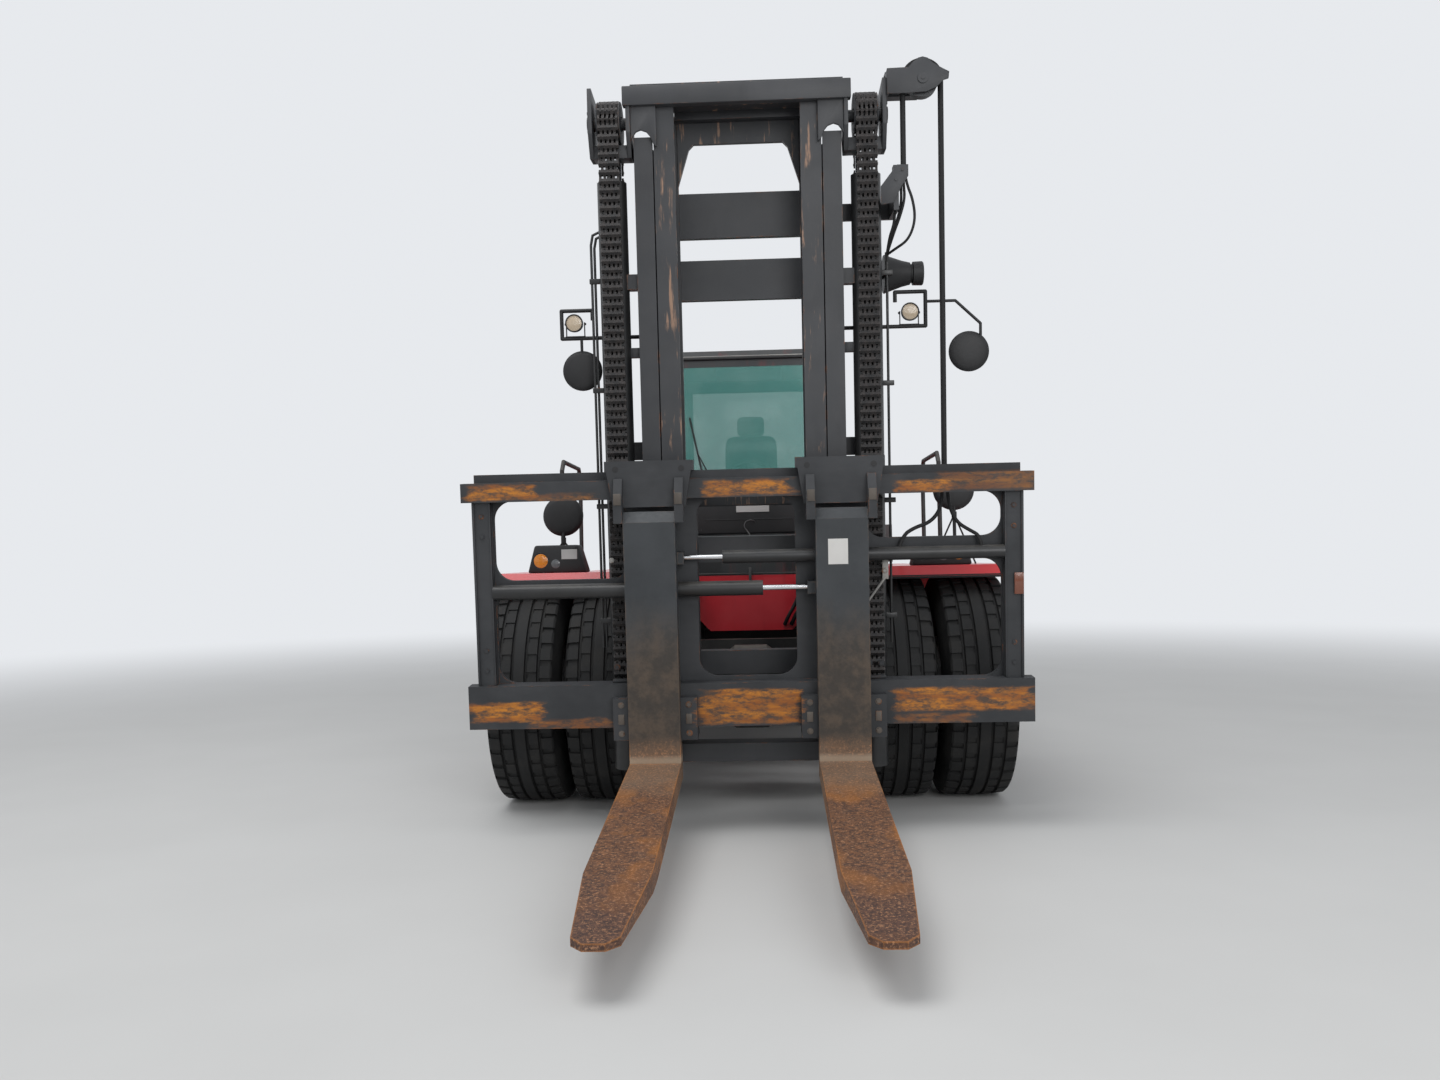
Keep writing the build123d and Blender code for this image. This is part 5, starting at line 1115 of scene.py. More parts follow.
# %% Lamps and tube frames
FITTING_Y = MAST_REAR_Y - 0.080
CHANNEL_X = 0.605
MIRROR_DEPTH = 0.030
frames = [
    # side, loop near X, loop far X, loop low Z, loop high Z, lamp X and Z, mirror X and Z
    (-1, 0.914, 1.104, 3.044, 3.212, 1.020, 3.131, 0.985, 2.846),
    (1, 0.931, 1.114, 3.061, 3.267, 1.015, 3.142, 1.374, 2.901),
]
LAMP_BODY = [
    # along the axis, from the axis
    (0, 0), (0, 0.028), (0.010, 0.040), (0.034, 0.049), (0.064, 0.0535), (0.084, 0.055), (0.090, 0.053),
    (0.090, 0.048), (0.082, 0.046), (0.082, 0),
]
LAMP_GLASS = [(0.080, 0), (0.080, 0.0465), (0.084, 0.0465), (0.088, 0.030), (0.0895, 0.012), (0.0895, 0)]


def round_mirror(shells, glasses, centre, radius, glass_radius):
    """A pressed black shell with a round glass in its face."""
    pressed = [
        # share of the depth, share of the radius
        (0.10, 0.0), (0.10, 0.90), (0.0, 0.94), (0.0, 1.0), (0.22, 1.0), (0.50, 0.95), (0.78, 0.76), (0.95, 0.42),
        (1.0, 0.16), (1.0, 0.0),
    ]
    spun(shells, centre, FORWARD, [(a * MIRROR_DEPTH, r * radius) for a, r in pressed], 40)
    glass_centre = (centre[0], centre[1] + 0.0005, centre[2])
    spun(glasses, glass_centre, FORWARD, [(0, 0), (0, glass_radius), (0.003, glass_radius), (0.003, 0)], 40)


bm, glasses, mirrors = bmesh.new(), bmesh.new(), bmesh.new()
for side, near, far, low, high, lamp_x, lamp_z, mirror_x, mirror_z in frames:
    loop = [
        (side * CHANNEL_X, FITTING_Y, low), (side * far, FITTING_Y, low), (side * far, FITTING_Y, high),
        (side * near, FITTING_Y, high), (side * near, FITTING_Y, high - 0.060),
    ]
    pipe(bm, loop, 0.012, 16)
    foot = (side * CHANNEL_X, FITTING_Y - 0.045, low - 0.040)
    slab(bm, foot, (side * (CHANNEL_X + 0.008), FITTING_Y + 0.045, low + 0.040), 0.002)
    lamp_at = (side * lamp_x, FITTING_Y + 0.030, lamp_z)
    spun(bm, lamp_at, FORWARD, LAMP_BODY, 32)
    spun(glasses, lamp_at, FORWARD, LAMP_GLASS, 32)
    for spread in SIDES:
        out_x, in_x = side * lamp_x + spread * 0.058, side * lamp_x + spread * 0.054
        slab(bm, (out_x, FITTING_Y - 0.012, low + 0.010), (in_x, FITTING_Y + 0.012, lamp_z + 0.010))
        bolt(bm, (out_x, FITTING_Y, lamp_z), (spread, 0, 0), 0.007, 0.008)
    saddle = (side * lamp_x - 0.060, FITTING_Y - 0.012, low + 0.008)
    slab(bm, saddle, (side * lamp_x + 0.060, FITTING_Y + 0.012, low + 0.014))
    if mirror_x > far:
        pipe(bm, [
            (far - 0.010, FITTING_Y, high - 0.060), (mirror_x - 0.080, FITTING_Y, high - 0.060),
            (mirror_x + 0.070, FITTING_Y, high - 0.200), (mirror_x + 0.070, FITTING_Y, mirror_z),
            (mirror_x, FITTING_Y + 0.006, mirror_z),
        ], 0.009, 12)
    else:
        pipe(bm, [(side * mirror_x, FITTING_Y, low), (side * mirror_x, FITTING_Y, mirror_z)], 0.009, 12)
    round_mirror(bm, mirrors, (side * mirror_x, FITTING_Y + 0.010, mirror_z), 0.122, 0.110)
finish(bm, "mast_lamps_and_mirrors", "mast_outer", "black_plastic", mast=True, replaces=["mast_fittings"])
finish(glasses, "mast_lamp_glasses", "mast_outer", "lamp_lens", mast=True)
finish(mirrors, "mast_mirror_glasses", "mast_outer", "mirror", mast=True)

# %% Fender and rear lamps
LAMP_Y = AXLE_Y - 0.330
LAMP_REAR_Y = AXLE_Y - 0.150
REAR_Y = AXLE_Y + 5.650
REAR_LAMP_Y = REAR_Y - 0.230
housing = [(1.080, 1.560), (1.135, 1.745), (1.430, 1.745), (1.478, 1.560)]
indicator_rim = [
    (-0.010, 0.050), (-0.010, 0.061), (0.006, 0.061), (0.009, 0.058), (0.009, 0.053), (0.002, 0.050),
    (-0.010, 0.050),
]
amber_dome = [(-0.008, 0), (-0.008, 0.0515), (0.006, 0.0515), (0.010, 0.042), (0.0118, 0.022), (0.012, 0)]
head_dome = [(-0.008, 0), (-0.008, 0.034), (0.004, 0.034), (0.008, 0.026), (0.0095, 0.010), (0.0095, 0)]
bm, amber_bm, head_bm, red_bm, plates = (bmesh.new() for _ in range(5))
for side in SIDES:
    prism(bm, [(side * x, z) for x, z in housing], LAMP_Y + 0.004, LAMP_REAR_Y, 0.014)
    indicator = (side * 1.388, LAMP_Y + 0.012, 1.641)
    spun(bm, indicator, FORWARD, indicator_rim)
    spun(amber_bm, indicator, FORWARD, amber_dome)
    spun(head_bm, (side * 1.288, LAMP_Y + 0.010, 1.620), FORWARD, head_dome)
    for z in (1.590, 1.725):
        bolt(bm, (side * 1.150, LAMP_Y + 0.004, z), FORWARD, 0.006, 0.004)
    slab(plates, (side * 1.143, LAMP_Y + 0.0005, 1.650), (side * 1.248, LAMP_Y + 0.0050, 1.715), 0.001, 1)
    slab(bm, (side * 1.000, REAR_LAMP_Y - 0.100, 1.950), (side * 1.200, REAR_LAMP_Y - 0.008, 2.060), 0.010)
    for low_x, high_x, lens_bm in ((1.006, 1.070, head_bm), (1.074, 1.130, amber_bm), (1.134, 1.194, red_bm)):
        slab(lens_bm, (side * low_x, REAR_LAMP_Y - 0.012, 1.958), (side * high_x, REAR_LAMP_Y, 2.052), 0.004)
finish(bm, "lamp_housings", "chassis", "black_plastic", replaces=["road_lamps"])
finish(amber_bm, "indicator_lenses", "chassis", "lamp_lens", amber)
finish(head_bm, "head_lamp_lenses", "chassis", "lamp_lens", dark_lens)
finish(red_bm, "rear_lenses", "chassis", "lamp_lens", red_lens)

# %% Fender mirrors
MIRROR_FOOT_Y, FENDER_TOP_Z = AXLE_Y - 0.060, 1.560
mirror_foot = [(0, 0), (0, 0.045), (0.006, 0.045), (0.012, 0.020), (0.060, 0.018), (0.070, 0.012), (0.070, 0)]
bm, mirrors = bmesh.new(), bmesh.new()
for side, x, z in ((-1, 1.280, 1.950), (1, 1.410, 2.070)):
    foot, ball = (side * x, MIRROR_FOOT_Y, FENDER_TOP_Z), (side * x, MIRROR_FOOT_Y, z)
    bar(bm, foot, ball, 0.012, sides=16)
    spun(bm, foot, UP, mirror_foot)
    for lean in (-0.150, 0.150):
        stay = (side * x + lean, MIRROR_FOOT_Y + abs(lean) * 0.4, FENDER_TOP_Z + 0.002)
        bar(bm, (side * x, MIRROR_FOOT_Y, z - 0.170), stay, 0.006, sides=10)
    bar(bm, (side * x, MIRROR_FOOT_Y, z - 0.190), (side * x, MIRROR_FOOT_Y, z - 0.150), 0.018, sides=16)
    round_mirror(bm, mirrors, (side * x, AXLE_Y - 0.050, z), 0.140, 0.127)
finish(bm, "fender_mirror_shells", "chassis", "black_plastic", replaces=["fender_mirrors"])
finish(mirrors, "fender_mirror_glasses", "chassis", "mirror")
print("lamps and mirrors fitted")

# %% [markdown]
# ## The cowl and the cab's front
#
# Between the mast channels a black valve cover shows, with a small blank plate, and a grey duct under it with
# a curled cable. Hoses hang in front of the red plate's lower corner. On the windscreen lies a wiper, and a
# sun visor hangs inside.

# %% Cowl
COWL_Y = AXLE_Y + 0.700
BOX_Y = AXLE_Y + 0.820
bm = bmesh.new()
slab(bm, (-0.446, BOX_Y - 0.014, 1.818), (0.446, BOX_Y + 0.002, 2.154), 0.014, 3)
for side in SIDES:
    slab(bm, (side * 0.405, BOX_Y - 0.020, 1.835), (side * 0.418, BOX_Y - 0.010, 2.138), 0.003)
    for z in (1.850, 2.120):
        bolt(bm, (side * 0.375, BOX_Y - 0.014, z), FORWARD, 0.008, 0.006)
slab(bm, (-0.330, BOX_Y - 0.018, 1.925), (0.330, BOX_Y - 0.012, 1.932), 0.002)
finish(bm, "valve_cover", "chassis", "black_plastic")
slab(plates, (-0.100, BOX_Y - 0.019, 1.984), (0.152, BOX_Y - 0.013, 2.044), 0.001, 1)

bm = bmesh.new()
slab(bm, (-0.510, COWL_Y + 0.052, 1.676), (0.510, COWL_Y + 0.062, 1.802), 0.006)
slab(bm, (-0.560, COWL_Y - 0.006, 1.512), (0.560, COWL_Y + 0.004, 1.520), 0.002)
for x in (-0.440, 0.440):
    bolt(bm, (x, COWL_Y + 0.052, 1.700), FORWARD, 0.010)
slab(bm, (-0.012, COWL_Y - 0.022, 1.420), (0.008, COWL_Y + 0.002, 1.560), 0.004)
port_cap = [(0, 0), (0, 0.030), (0.012, 0.030), (0.014, 0.022), (0.030, 0.020), (0.032, 0.0)]
for x, z in ((-0.420, 1.640), (0.420, 1.645)):
    spun(bm, (x, COWL_Y, z), FORWARD, port_cap, 24)
finish(bm, "duct_front", "chassis", "counterweight_grey")
hose("curled_cable", "chassis", [
    (0.045, BOX_Y - 0.010, 1.905), (0.030, BOX_Y - 0.034, 1.925), (-0.030, BOX_Y - 0.050, 1.915),
    (-0.045, BOX_Y - 0.056, 1.870), (-0.015, BOX_Y - 0.060, 1.835), (0.010, COWL_Y + 0.030, 1.795),
    (-0.035, COWL_Y + 0.020, 1.740), (-0.080, COWL_Y + 0.040, 1.700),
], 0.009, slot="counterweight_grey")
cowl_route = [
    # x, y in front of the cowl, z
    (0.372, 0.006, 1.480), (0.372, 0.034, 1.410), (0.356, 0.050, 1.335), (0.318, 0.052, 1.255),
    (0.276, 0.040, 1.185), (0.250, 0.004, 1.125),
]
for name, shift in (("cowl_hose_front", 0.0), ("cowl_hose_rear", 0.050)):
    hose(name, "chassis", [(x + shift, COWL_Y - ahead, z) for x, ahead, z in cowl_route], 0.028)

# %% Windscreen and cab fittings
CAB_FRONT_Y = AXLE_Y + 2.150
CAB_REAR_Y = CAB_FRONT_Y + 1.700
SCREEN_SLOPE = 0.130 / 1.370


def screen_y(z):
    """The windscreen's own Y at a height."""
    return CAB_FRONT_Y + (z - 2.050) * SCREEN_SLOPE


bm, pale = bmesh.new(), bmesh.new()
WIPER_X, WIPER_Z, BLADE_X = -0.180, 2.020, -0.460
wiper_hub = [(-0.010, 0), (-0.010, 0.024), (0.016, 0.024), (0.022, 0.016), (0.022, 0)]
spun(bm, (WIPER_X, screen_y(2.000), WIPER_Z), FORWARD, wiper_hub, 24)
arm_tip = Vector((BLADE_X, screen_y(2.560) - 0.030, 2.560))
bar(bm, (WIPER_X, screen_y(WIPER_Z) - 0.018, WIPER_Z), arm_tip, 0.007, 0.005, sides=8)
low = Vector((BLADE_X + 0.060, screen_y(2.260) - 0.016, 2.260))
high = Vector((BLADE_X - 0.075, screen_y(2.900) - 0.016, 2.900))
bar(bm, low, high, 0.008, sides=8)
bar(bm, low + (high - low) * 0.42, arm_tip, 0.006, sides=8)
slab(bm, (-0.300, CAB_FRONT_Y + 0.215, 3.240), (0.300, CAB_FRONT_Y + 0.255, 3.400), 0.012)
slab(bm, (-0.700, CAB_FRONT_Y + 0.110, 3.424), (0.700, CAB_FRONT_Y + 0.150, 3.446), 0.006)
finish(bm, "wiper_and_visor", "chassis", "black_plastic")
slab(pale, (-0.680, CAB_FRONT_Y + 0.126, 3.450), (0.680, CAB_FRONT_Y + 0.150, 3.460), 0.002)
finish(pale, "roof_seam", "chassis", "counterweight_grey", zinc)

for side, word in PAIRS:
    bm = bmesh.new()
    handle_y = CAB_FRONT_Y + 0.370
    slab(bm, (side * 0.799, handle_y, 2.080), (side * 0.806, handle_y + 0.150, 2.180), 0.003)
    slab(bm, (side * 0.806, handle_y + 0.020, 2.142), (side * 0.822, handle_y + 0.130, 2.158), 0.004)
    for y in (handle_y + 0.030, handle_y + 0.120):
        bar(bm, (side * 0.804, y, 2.150), (side * 0.814, y, 2.150), 0.008, sides=12)
    slab(bm, (side * 0.7995, CAB_FRONT_Y + 0.392, 2.252), (side * 0.803, CAB_REAR_Y - 0.592, 2.262), 0.001, 1)
    finish(bm, f"door_handle_{word}", f"door_{word}", "black_plastic")

bm = bmesh.new()
for x in (-0.740, 0.740):
    for z in (1.700, 1.900):
        bolt(bm, (x, CAB_FRONT_Y, z), FORWARD, 0.010)
for x in (-0.660, 0.660):
    slab(bm, (x - 0.040, CAB_FRONT_Y + 0.240, 3.512), (x + 0.040, CAB_FRONT_Y + 0.340, 3.519), 0.003)
finish(bm, "cab_bolts", "chassis", "chassis_black")

# %% [markdown]
# ## The seat
#
# The driver's seat is foam under cloth: a block that swells between its seams. A cube is divided finely and
# its points are moved onto a rounded box, and then the middle is sat on a little. Piping runs along the
# seam, and the pedestal is hidden by rubber bellows.

# %% Seat
SEAT_Y = CAB_FRONT_Y + 0.950
CUSHION_CUTS = 14


def cushion(name, centre, half, tilt, squareness, hollow):
    """A foam pad: a cube drawn onto a rounded box, hollowed where it carries weight."""
    bm = bmesh.new()
    bmesh.ops.create_cube(bm, size=2.0)
    bmesh.ops.subdivide_edges(bm, edges=bm.edges[:], cuts=CUSHION_CUTS, use_grid_fill=True)
    turn = Matrix.Translation(centre) @ Matrix.Rotation(tilt, 4, "X")
    for vert in bm.verts:
        x, y, z = vert.co
        shrink = (abs(x) ** squareness + abs(y) ** squareness + abs(z) ** squareness) ** (-1 / squareness)
        x, y, z = x * shrink, y * shrink, z * shrink
        sag = hollow * max(0.0, 1 - x * x) * max(0.0, 1 - (z * z if half[1] < half[2] else y * y))
        seam = 0.012 * max(0.0, 1 - abs(abs(x) - 0.52) * 14)
        at = Vector((x * half[0], y * half[1], z * half[2]))
        if half[1] < half[2]:
            at.y += (sag + seam) * (1 if y < 0 else 0) * abs(y)
        else:
            at.z -= (sag + seam) * (1 if z > 0 else 0) * abs(z)
        vert.co = turn @ at
    piece = finish(bm, name, "chassis", "seat_fabric", angle=60)


BACK_TILT = -radians(10.9)
cushion("seat_cushion", (0, SEAT_Y - 0.025, 2.150), (0.262, 0.262, 0.068), 0.0, 7, 0.014)
cushion("seat_back", (0, SEAT_Y + 0.258, 2.535), (0.258, 0.047, 0.315), BACK_TILT, 7, 0.012)
cushion("head_rest", (0, SEAT_Y + 0.344, 2.950), (0.136, 0.044, 0.098), -radians(11.5), 5, 0.004)
for side, word in PAIRS:
    cushion(f"arm_rest_{word}", (side * 0.315, SEAT_Y + 0.015, 2.411), (0.029, 0.200, 0.026), 0.0, 5, 0.002)

bm = bmesh.new()
for x in (-0.055, 0.055):
    bar(bm, (x, SEAT_Y + 0.320, 2.800), (x, SEAT_Y + 0.338, 2.900), 0.006, sides=12)
for k in range(6):
    z = 1.790 + k * 0.044
    slab(bm, (-0.176, SEAT_Y - 0.196, z), (0.176, SEAT_Y + 0.176, z + 0.034), 0.015)
    slab(bm, (-0.150, SEAT_Y - 0.170, z + 0.028), (0.150, SEAT_Y + 0.150, z + 0.050), 0.004)
slab(bm, (-0.180, SEAT_Y - 0.200, 1.751), (0.180, SEAT_Y + 0.180, 1.795), 0.006)
slab(bm, (-0.240, SEAT_Y - 0.240, 2.050), (0.240, SEAT_Y + 0.220, 2.090), 0.010)
for side in SIDES:
    slab(bm, (side * 0.292, SEAT_Y + 0.104, 2.124), (side * 0.338, SEAT_Y + 0.176, 2.395), 0.008)
    slab(bm, (side * 0.240, SEAT_Y + 0.104, 2.124), (side * 0.292, SEAT_Y + 0.176, 2.196), 0.006)
finish(bm, "seat_frame", "chassis", "black_plastic", replaces=["operator_seat"])

# %% Dashboard fittings
bm = bmesh.new()
gauge = [(-0.010, 0), (-0.010, 0.036), (0.012, 0.036), (0.014, 0.032), (0.010, 0.030), (0.010, 0)]
for x in (-0.250, -0.130, 0.130, 0.250):
    spun(bm, (x, CAB_FRONT_Y + 0.235, 2.110), (0, 0.53, 0.85), gauge, 24)
for x in (0.290, 0.335, 0.380):
    bar(bm, (x, CAB_FRONT_Y + 0.280, 2.075), (x, CAB_FRONT_Y + 0.300, 2.190), 0.006, sides=10)
    knob = Matrix.Translation((x, CAB_FRONT_Y + 0.302, 2.200))
    bmesh.ops.create_icosphere(bm, subdivisions=2, radius=0.016, matrix=knob)
bar(bm, (-0.040, CAB_FRONT_Y + 0.370, 2.310), (-0.190, CAB_FRONT_Y + 0.372, 2.330), 0.007, sides=10)
finish(bm, "dash_fittings", "chassis", "black_plastic")

# %% [markdown]
# ## Carriage, fork and wheel fittings
#
# The fork hangers have plugged holes at their corners and bolted clamps below. A steel link with a bright
# bolt hangs beside the right fork, a reflector is screwed to the right post and a blank label is stuck on the
# right fork.

# %% Carriage and fork fittings
LOWER_BAR_TOP_Z, UPPER_BAR_LOW_Z = 0.972, 2.063
POST_Y = BAR_Y + 0.030
bm = bmesh.new()
for side in SIDES:
    for z in (1.060, 1.180, 1.860, 1.980):
        bolt(bm, (side * 1.553, POST_Y, z), FORWARD, 0.012)
    for near_x, far_x, ahead, behind in ((1.594, 1.608, 0.012, 0.060), (1.500, 1.510, 0.008, 0.010)):
        low, high = (side * near_x, POST_Y - ahead, LOWER_BAR_TOP_Z), (side * far_x, POST_Y + behind, UPPER_BAR_LOW_Z)
        slab(bm, low, high, 0.003)
    slab(bm, (side * 0.690, BAR_Y + 0.050, 0.974), (side * 0.810, PLATE_Y, 0.990), 0.003)
    for x in (0.715, 0.785):
        bolt(bm, (side * x, PLATE_Y, 1.060), FORWARD, 0.014)
    bar(bm, (side * 1.500, POST_Y, UPPER_BAR_LOW_Z), (side * 1.606, POST_Y, UPPER_BAR_LOW_Z), 0.006, sides=8)
finish(bm, "carriage_fixings", "fork_carriage", "carriage_paint", mast=True)

bm = bmesh.new()
link_y = PLATE_Y + 0.013
bar(bm, (0.645, link_y, 1.331), (0.819, link_y, 1.569), 0.007, sides=12)
slab(bm, (0.800, link_y - 0.005, 1.556), (0.836, link_y + 0.005, 1.680), 0.002)
bolt(bm, (0.814, link_y - 0.005, 1.606), FORWARD, 0.013, 0.008)
bolt(bm, (-0.800, PLATE_Y, 1.700), FORWARD, 0.012, 0.009)
finish(bm, "bright_link", "fork_carriage", "chrome", zinc, mast=True)

bm = bmesh.new()
slab(bm, (1.552, POST_Y - 0.018, 1.462), (1.606, POST_Y - 0.010, 1.588), 0.003)
finish(bm, "post_reflector", "fork_carriage", "lamp_lens", reflector, mast=True)

for side, word in PAIRS:
    centre = side * 0.552
    bm, plugs = bmesh.new(), bmesh.new()
    for offset in (-0.205, 0.205):
        x = centre + offset * 0.93
        bar(plugs, (x, FACE_Y + 0.0615, 2.238), (x, FACE_Y + 0.0580, 2.238), 0.017, sides=24)
        x = centre + offset * 0.97
        for z in (0.690, 0.860):
            bolt(bm, (x, FACE_Y + 0.060, z), FORWARD, 0.014)
        slab(bm, (x - 0.018, FACE_Y + 0.055, 0.745), (x + 0.018, FACE_Y + 0.061, 0.805), 0.003)
        x = centre + offset * 0.85
        slab(bm, (x - 0.022, FACE_Y - 0.026, 2.034), (x + 0.022, FACE_Y - 0.018, 2.100), 0.003)
    finish(bm, f"fork_clamp_bolts_{word}", f"fork_arm_{word}", "chrome", rusty_zinc, mast=True)
    finish(plugs, f"hanger_holes_{word}", f"fork_arm_{word}", "black_plastic", mast=True)
bm = bmesh.new()
slab(bm, (0.471, FACE_Y - 0.0012, 1.670), (0.584, FACE_Y + 0.0005, 1.816), 0.0005, 1)
finish(bm, "blank_label", "fork_arm_right", "glass", label_paper, mast=True)
finish(plates, "blank_plates", "chassis", "rim_paint", plate_metal)

# %% [markdown]
# ## Wheels, deck and rear
#
# Wheel nuts sit in rings on the hubs, with a cap in the middle and a valve in the rim. The fenders end in
# black rubber lips. Treads on the steps, filler caps, louvres, latches and clamps finish the sides and back.

# %% Wheel fittings
STEER_HUB_FACE = 1.320
hub_cap = [(-0.004, 0), (-0.004, 0.112), (0.004, 0.112), (0.010, 0.104), (0.014, 0.060), (0.016, 0)]
nut_rings = [
    # count, radius, X, nut size, nut height
    (16, 0.160, 1.559, 0.013, 0.016),
    (24, 0.300, 1.225, 0.014, 0.016),
    (6, 0.085, 1.614, 0.007, 0.008),
]
for side, word in PAIRS:
    bm = bmesh.new()
    for count, radius, x, size, height in nut_rings:
        for y, z in round_places(AXLE_Y, AXLE_Z, radius, count):
            bolt(bm, (side * x, y, z), (side, 0, 0), size, height)
    spun(bm, (side * 1.609, AXLE_Y, AXLE_Z), (side, 0, 0), hub_cap, 40)
    bar(bm, (side * 1.560, AXLE_Y + 0.318, AXLE_Z), (side * 1.640, AXLE_Y + 0.328, AXLE_Z), 0.005, sides=10)
    finish(bm, f"wheel_nuts_{word}", f"drive_wheel_{word}", "rim_paint", zinc)
    bm = bmesh.new()
    for y, z in round_places(STEER_Y, AXLE_Z, 0.095, 10):
        bolt(bm, (side * STEER_HUB_FACE, y, z), (side, 0, 0), 0.010, 0.014)
    finish(bm, f"steer_nuts_{word}", f"steer_wheel_{word}", "rim_paint", zinc)

# %% Fender lips, steps, caps, louvres and clamps
DECK_Z = 1.540
breather = [
    (0, 0.018), (0, 0.040), (0.008, 0.040), (0.012, 0.026), (0.030, 0.024), (0.032, 0.018), (0, 0.018),
]
filler_cap = [
    (0, 0), (0, 0.058), (0.010, 0.058), (0.012, 0.050), (0.044, 0.048), (0.048, 0.042), (0.048, 0),
]
bm, grip, caps = bmesh.new(), bmesh.new(), bmesh.new()
for side in SIDES:
    slab(bm, (side * 0.656, AXLE_Y - 0.4195, 1.476), (side * 1.7145, AXLE_Y - 0.400, 1.500), 0.004)
    slab(bm, (side * 1.703, AXLE_Y - 0.365, 1.526), (side * 1.7148, AXLE_Y + 0.745, 1.545), 0.003)
    for z in (0.722, 1.062):
        for k in range(5):
            x = 1.365 + k * 0.027
            low, high = (side * x, AXLE_Y + 2.320, z - 0.002), (side * (x + 0.008), AXLE_Y + 2.780, z + 0.005)
            slab(grip, low, high, 0.002, 1)
    for k in range(12):
        y = AXLE_Y + 1.080 + k * 0.070
        slab(grip, (side * 1.120, y, DECK_Z - 0.001), (side * 1.480, y + 0.010, DECK_Z + 0.005), 0.002, 1)
    for y in (1.250, 2.150):
        spun(caps, (side * 1.520, AXLE_Y + y, DECK_Z), UP, breather, 24)
    spun(caps, (side * 0.980, AXLE_Y + 1.850, DECK_Z), UP, filler_cap, 32)
    for y in (1.150, 3.100):
        slab(caps, (side * 1.498, AXLE_Y + y, 0.640), (side * 1.506, AXLE_Y + y + 0.060, 1.460), 0.002)
        for z in (0.700, 1.400):
            bolt(caps, (side * 1.506, AXLE_Y + y + 0.030, z), (side, 0, 0), 0.010)
finish(bm, "fender_lips", "chassis", "hose_rubber")
finish(grip, "step_grips", "chassis", "chassis_black", zinc)
finish(caps, "caps_and_straps", "chassis", "chassis_black")

bm = bmesh.new()
HOUSING_Y = AXLE_Y + 3.920
LATCH_Y = (HOUSING_Y + 0.180, HOUSING_Y + 0.900)
for side in SIDES:
    louvres(bm, (side * 0.596, HOUSING_Y + 0.250, 1.700), (side * 0.612, HOUSING_Y + 0.850, 2.060), 9)
    for y in LATCH_Y:
        slab(bm, (side * 0.598, y, 2.040), (side * 0.616, y + 0.030, 2.092), 0.004)
finish(bm, "housing_louvres", "chassis", "chassis_black")
bm = bmesh.new()
for side in SIDES:
    for y in LATCH_Y:
        slab(bm, (side * 0.598, y - 0.004, 2.106), (side * 0.614, y + 0.034, 2.136), 0.004)
finish(bm, "lid_keepers", "lid", "chassis_black", zinc)
bm = bmesh.new()
for x in (-0.455, 0.455):
    for z in (1.660, 2.360):
        bolt(bm, (x, AXLE_Y + 5.370, z), (0, 1, 0), 0.010)
STACK_X, STACK_Y = 0.780, HOUSING_Y + 0.230
band = [(0, 0.088), (0, 0.096), (0.003, 0.098), (0.027, 0.098), (0.030, 0.096), (0.030, 0.088), (0, 0.088)]
collar = [(0, 0.091), (0.006, 0.094), (0.014, 0.088), (0.022, 0.062), (0.026, 0.056), (0.0, 0.056), (0, 0.091)]
for z in (2.020, 2.640):
    spun(bm, (STACK_X, STACK_Y, z), UP, band, 40)
    bar(bm, (0.885, STACK_Y - 0.025, z + 0.015), (0.885, STACK_Y + 0.025, z + 0.015), 0.006, sides=8)
spun(bm, (STACK_X, STACK_Y, 2.746), UP, collar, 40)
finish(bm, "rear_fixings", "chassis", "exhaust_steel", zinc)

# %% [markdown]
# ## Floor and light
#
# A pale plain floor and a soft even sky. The floor and the sky look nearly white to the camera, and to
# chrome and glass, while the light that falls on the truck stays at the level where a colour renders as it
# is written.

# %% Floor
HAZE = (0.800, 0.820, 0.850)


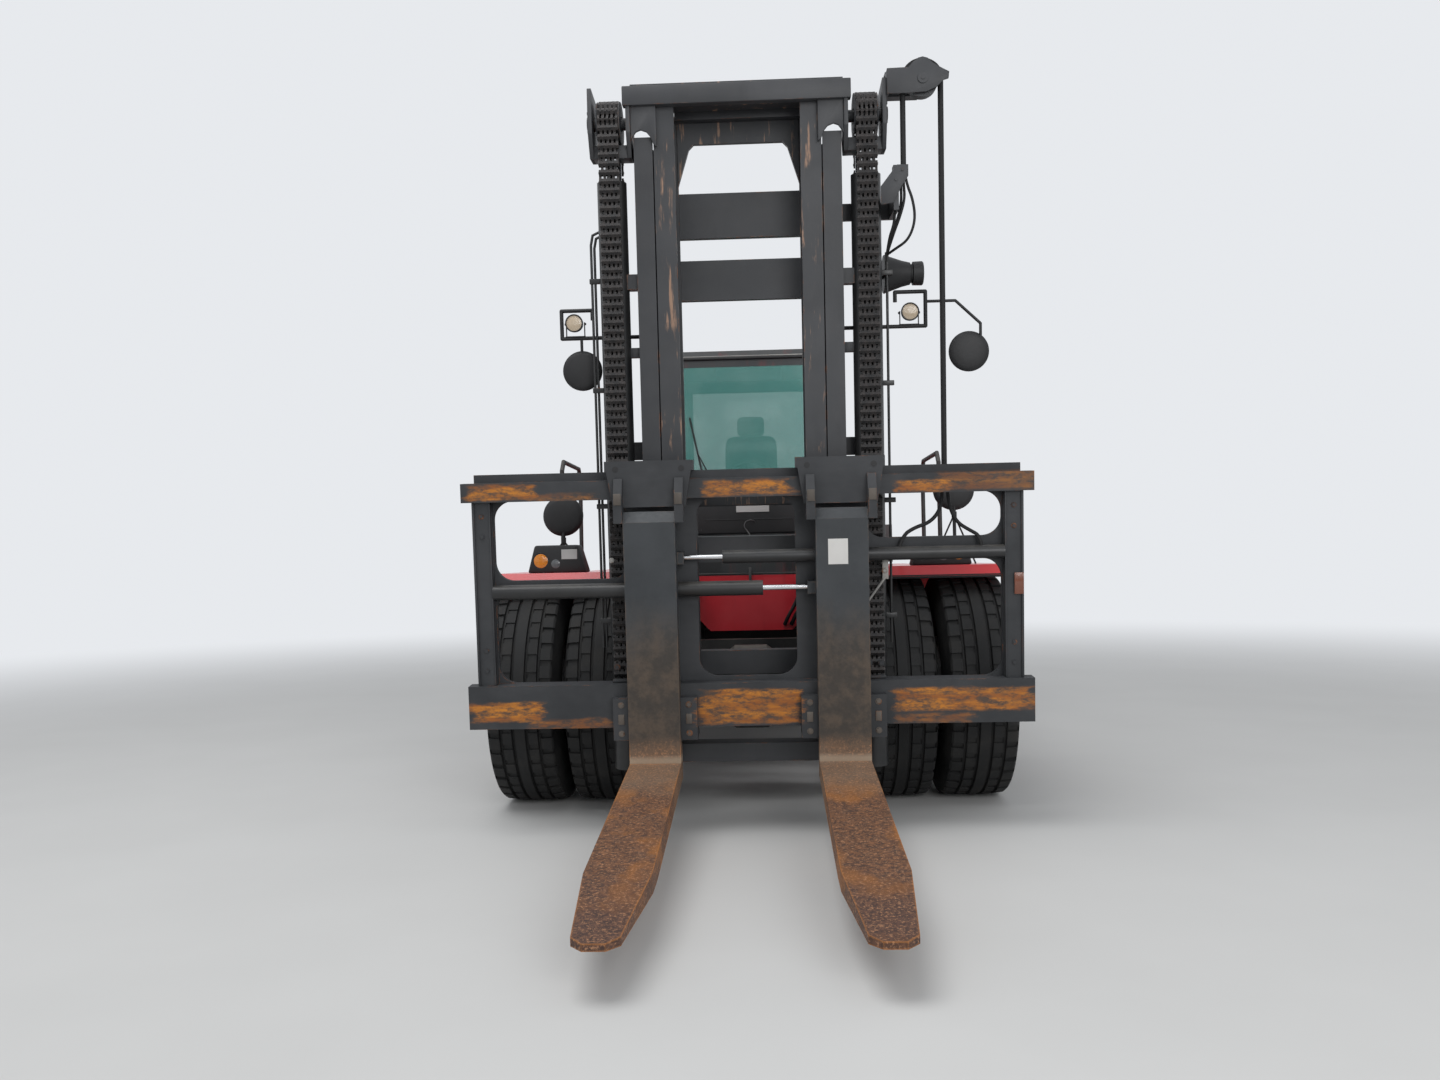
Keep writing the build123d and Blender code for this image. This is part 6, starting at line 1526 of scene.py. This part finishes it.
def pale_floor():
    material, tree, surface = shader("pale floor")
    point = place(tree)
    x, y, _ = axes(tree, point)
    tone = noise(tree, point, 0.8, 3.0)
    connect(surface, Base_Color=mix(tree, tone, (0.60, 0.60, 0.59), (0.66, 0.66, 0.65)), Roughness=0.9)
    squared = x * x + y * y
    far = squared.maths("SQRT", squared).between(6.0, 20.0)
    camera_ray = node(tree, "ShaderNodeLightPath", output=0)
    haze = node(tree, "ShaderNodeEmission", inputs={"Color": (*HAZE, 1.0), "Strength": 1.0})
    blend = node(tree, "ShaderNodeMixShader", inputs=[far * camera_ray, Value(tree, surface.outputs[0]), haze])
    output = next(n for n in tree.nodes if n.type == "OUTPUT_MATERIAL")
    tree.links.new(blend.socket, output.inputs[0])
    return material


floor_bm = bmesh.new()
bmesh.ops.create_grid(floor_bm, x_segments=1, y_segments=1, size=60.0)
floor_mesh = bpy.data.meshes.new("floor")
floor_bm.to_mesh(floor_mesh)
floor_bm.free()
floor_mesh.materials.append(pale_floor())
added("floor", floor_mesh)

# %% Sky and lamps
world = bpy.data.worlds.new("studio")
bpy.context.scene.world = world
world.use_nodes = True
sky = world.node_tree
sky.nodes.clear()
seen = node(sky, "ShaderNodeLightPath", output=0)
glossy = node(sky, "ShaderNodeLightPath", output=3)
through = node(sky, "ShaderNodeLightPath", output=6)
shown = (seen + glossy + through).clamped()
lit = node(sky, "ShaderNodeBackground", inputs={"Color": (*HAZE, 1.0), "Strength": 0.62 + 0.38 * shown})
output = sky.nodes.new("ShaderNodeOutputWorld")
sky.links.new(lit.socket, output.inputs[0])


def lamp(name, at, target, size, watts):
    data = bpy.data.lights.new(name, "AREA")
    data.shape = "DISK"
    data.size = size
    data.energy = watts
    aim = (Vector(target) - Vector(at)).to_track_quat("-Z", "Y").to_matrix().to_4x4()
    added(name, data).matrix_world = Matrix.Translation(at) @ aim


lamp("overhead", (-3.0, -5.0, 12.0), (0, 0, 1.0), 8.0, 620)
lamp("front", (4.0, -13.0, 5.0), (0, -1.5, 1.5), 6.0, 420)
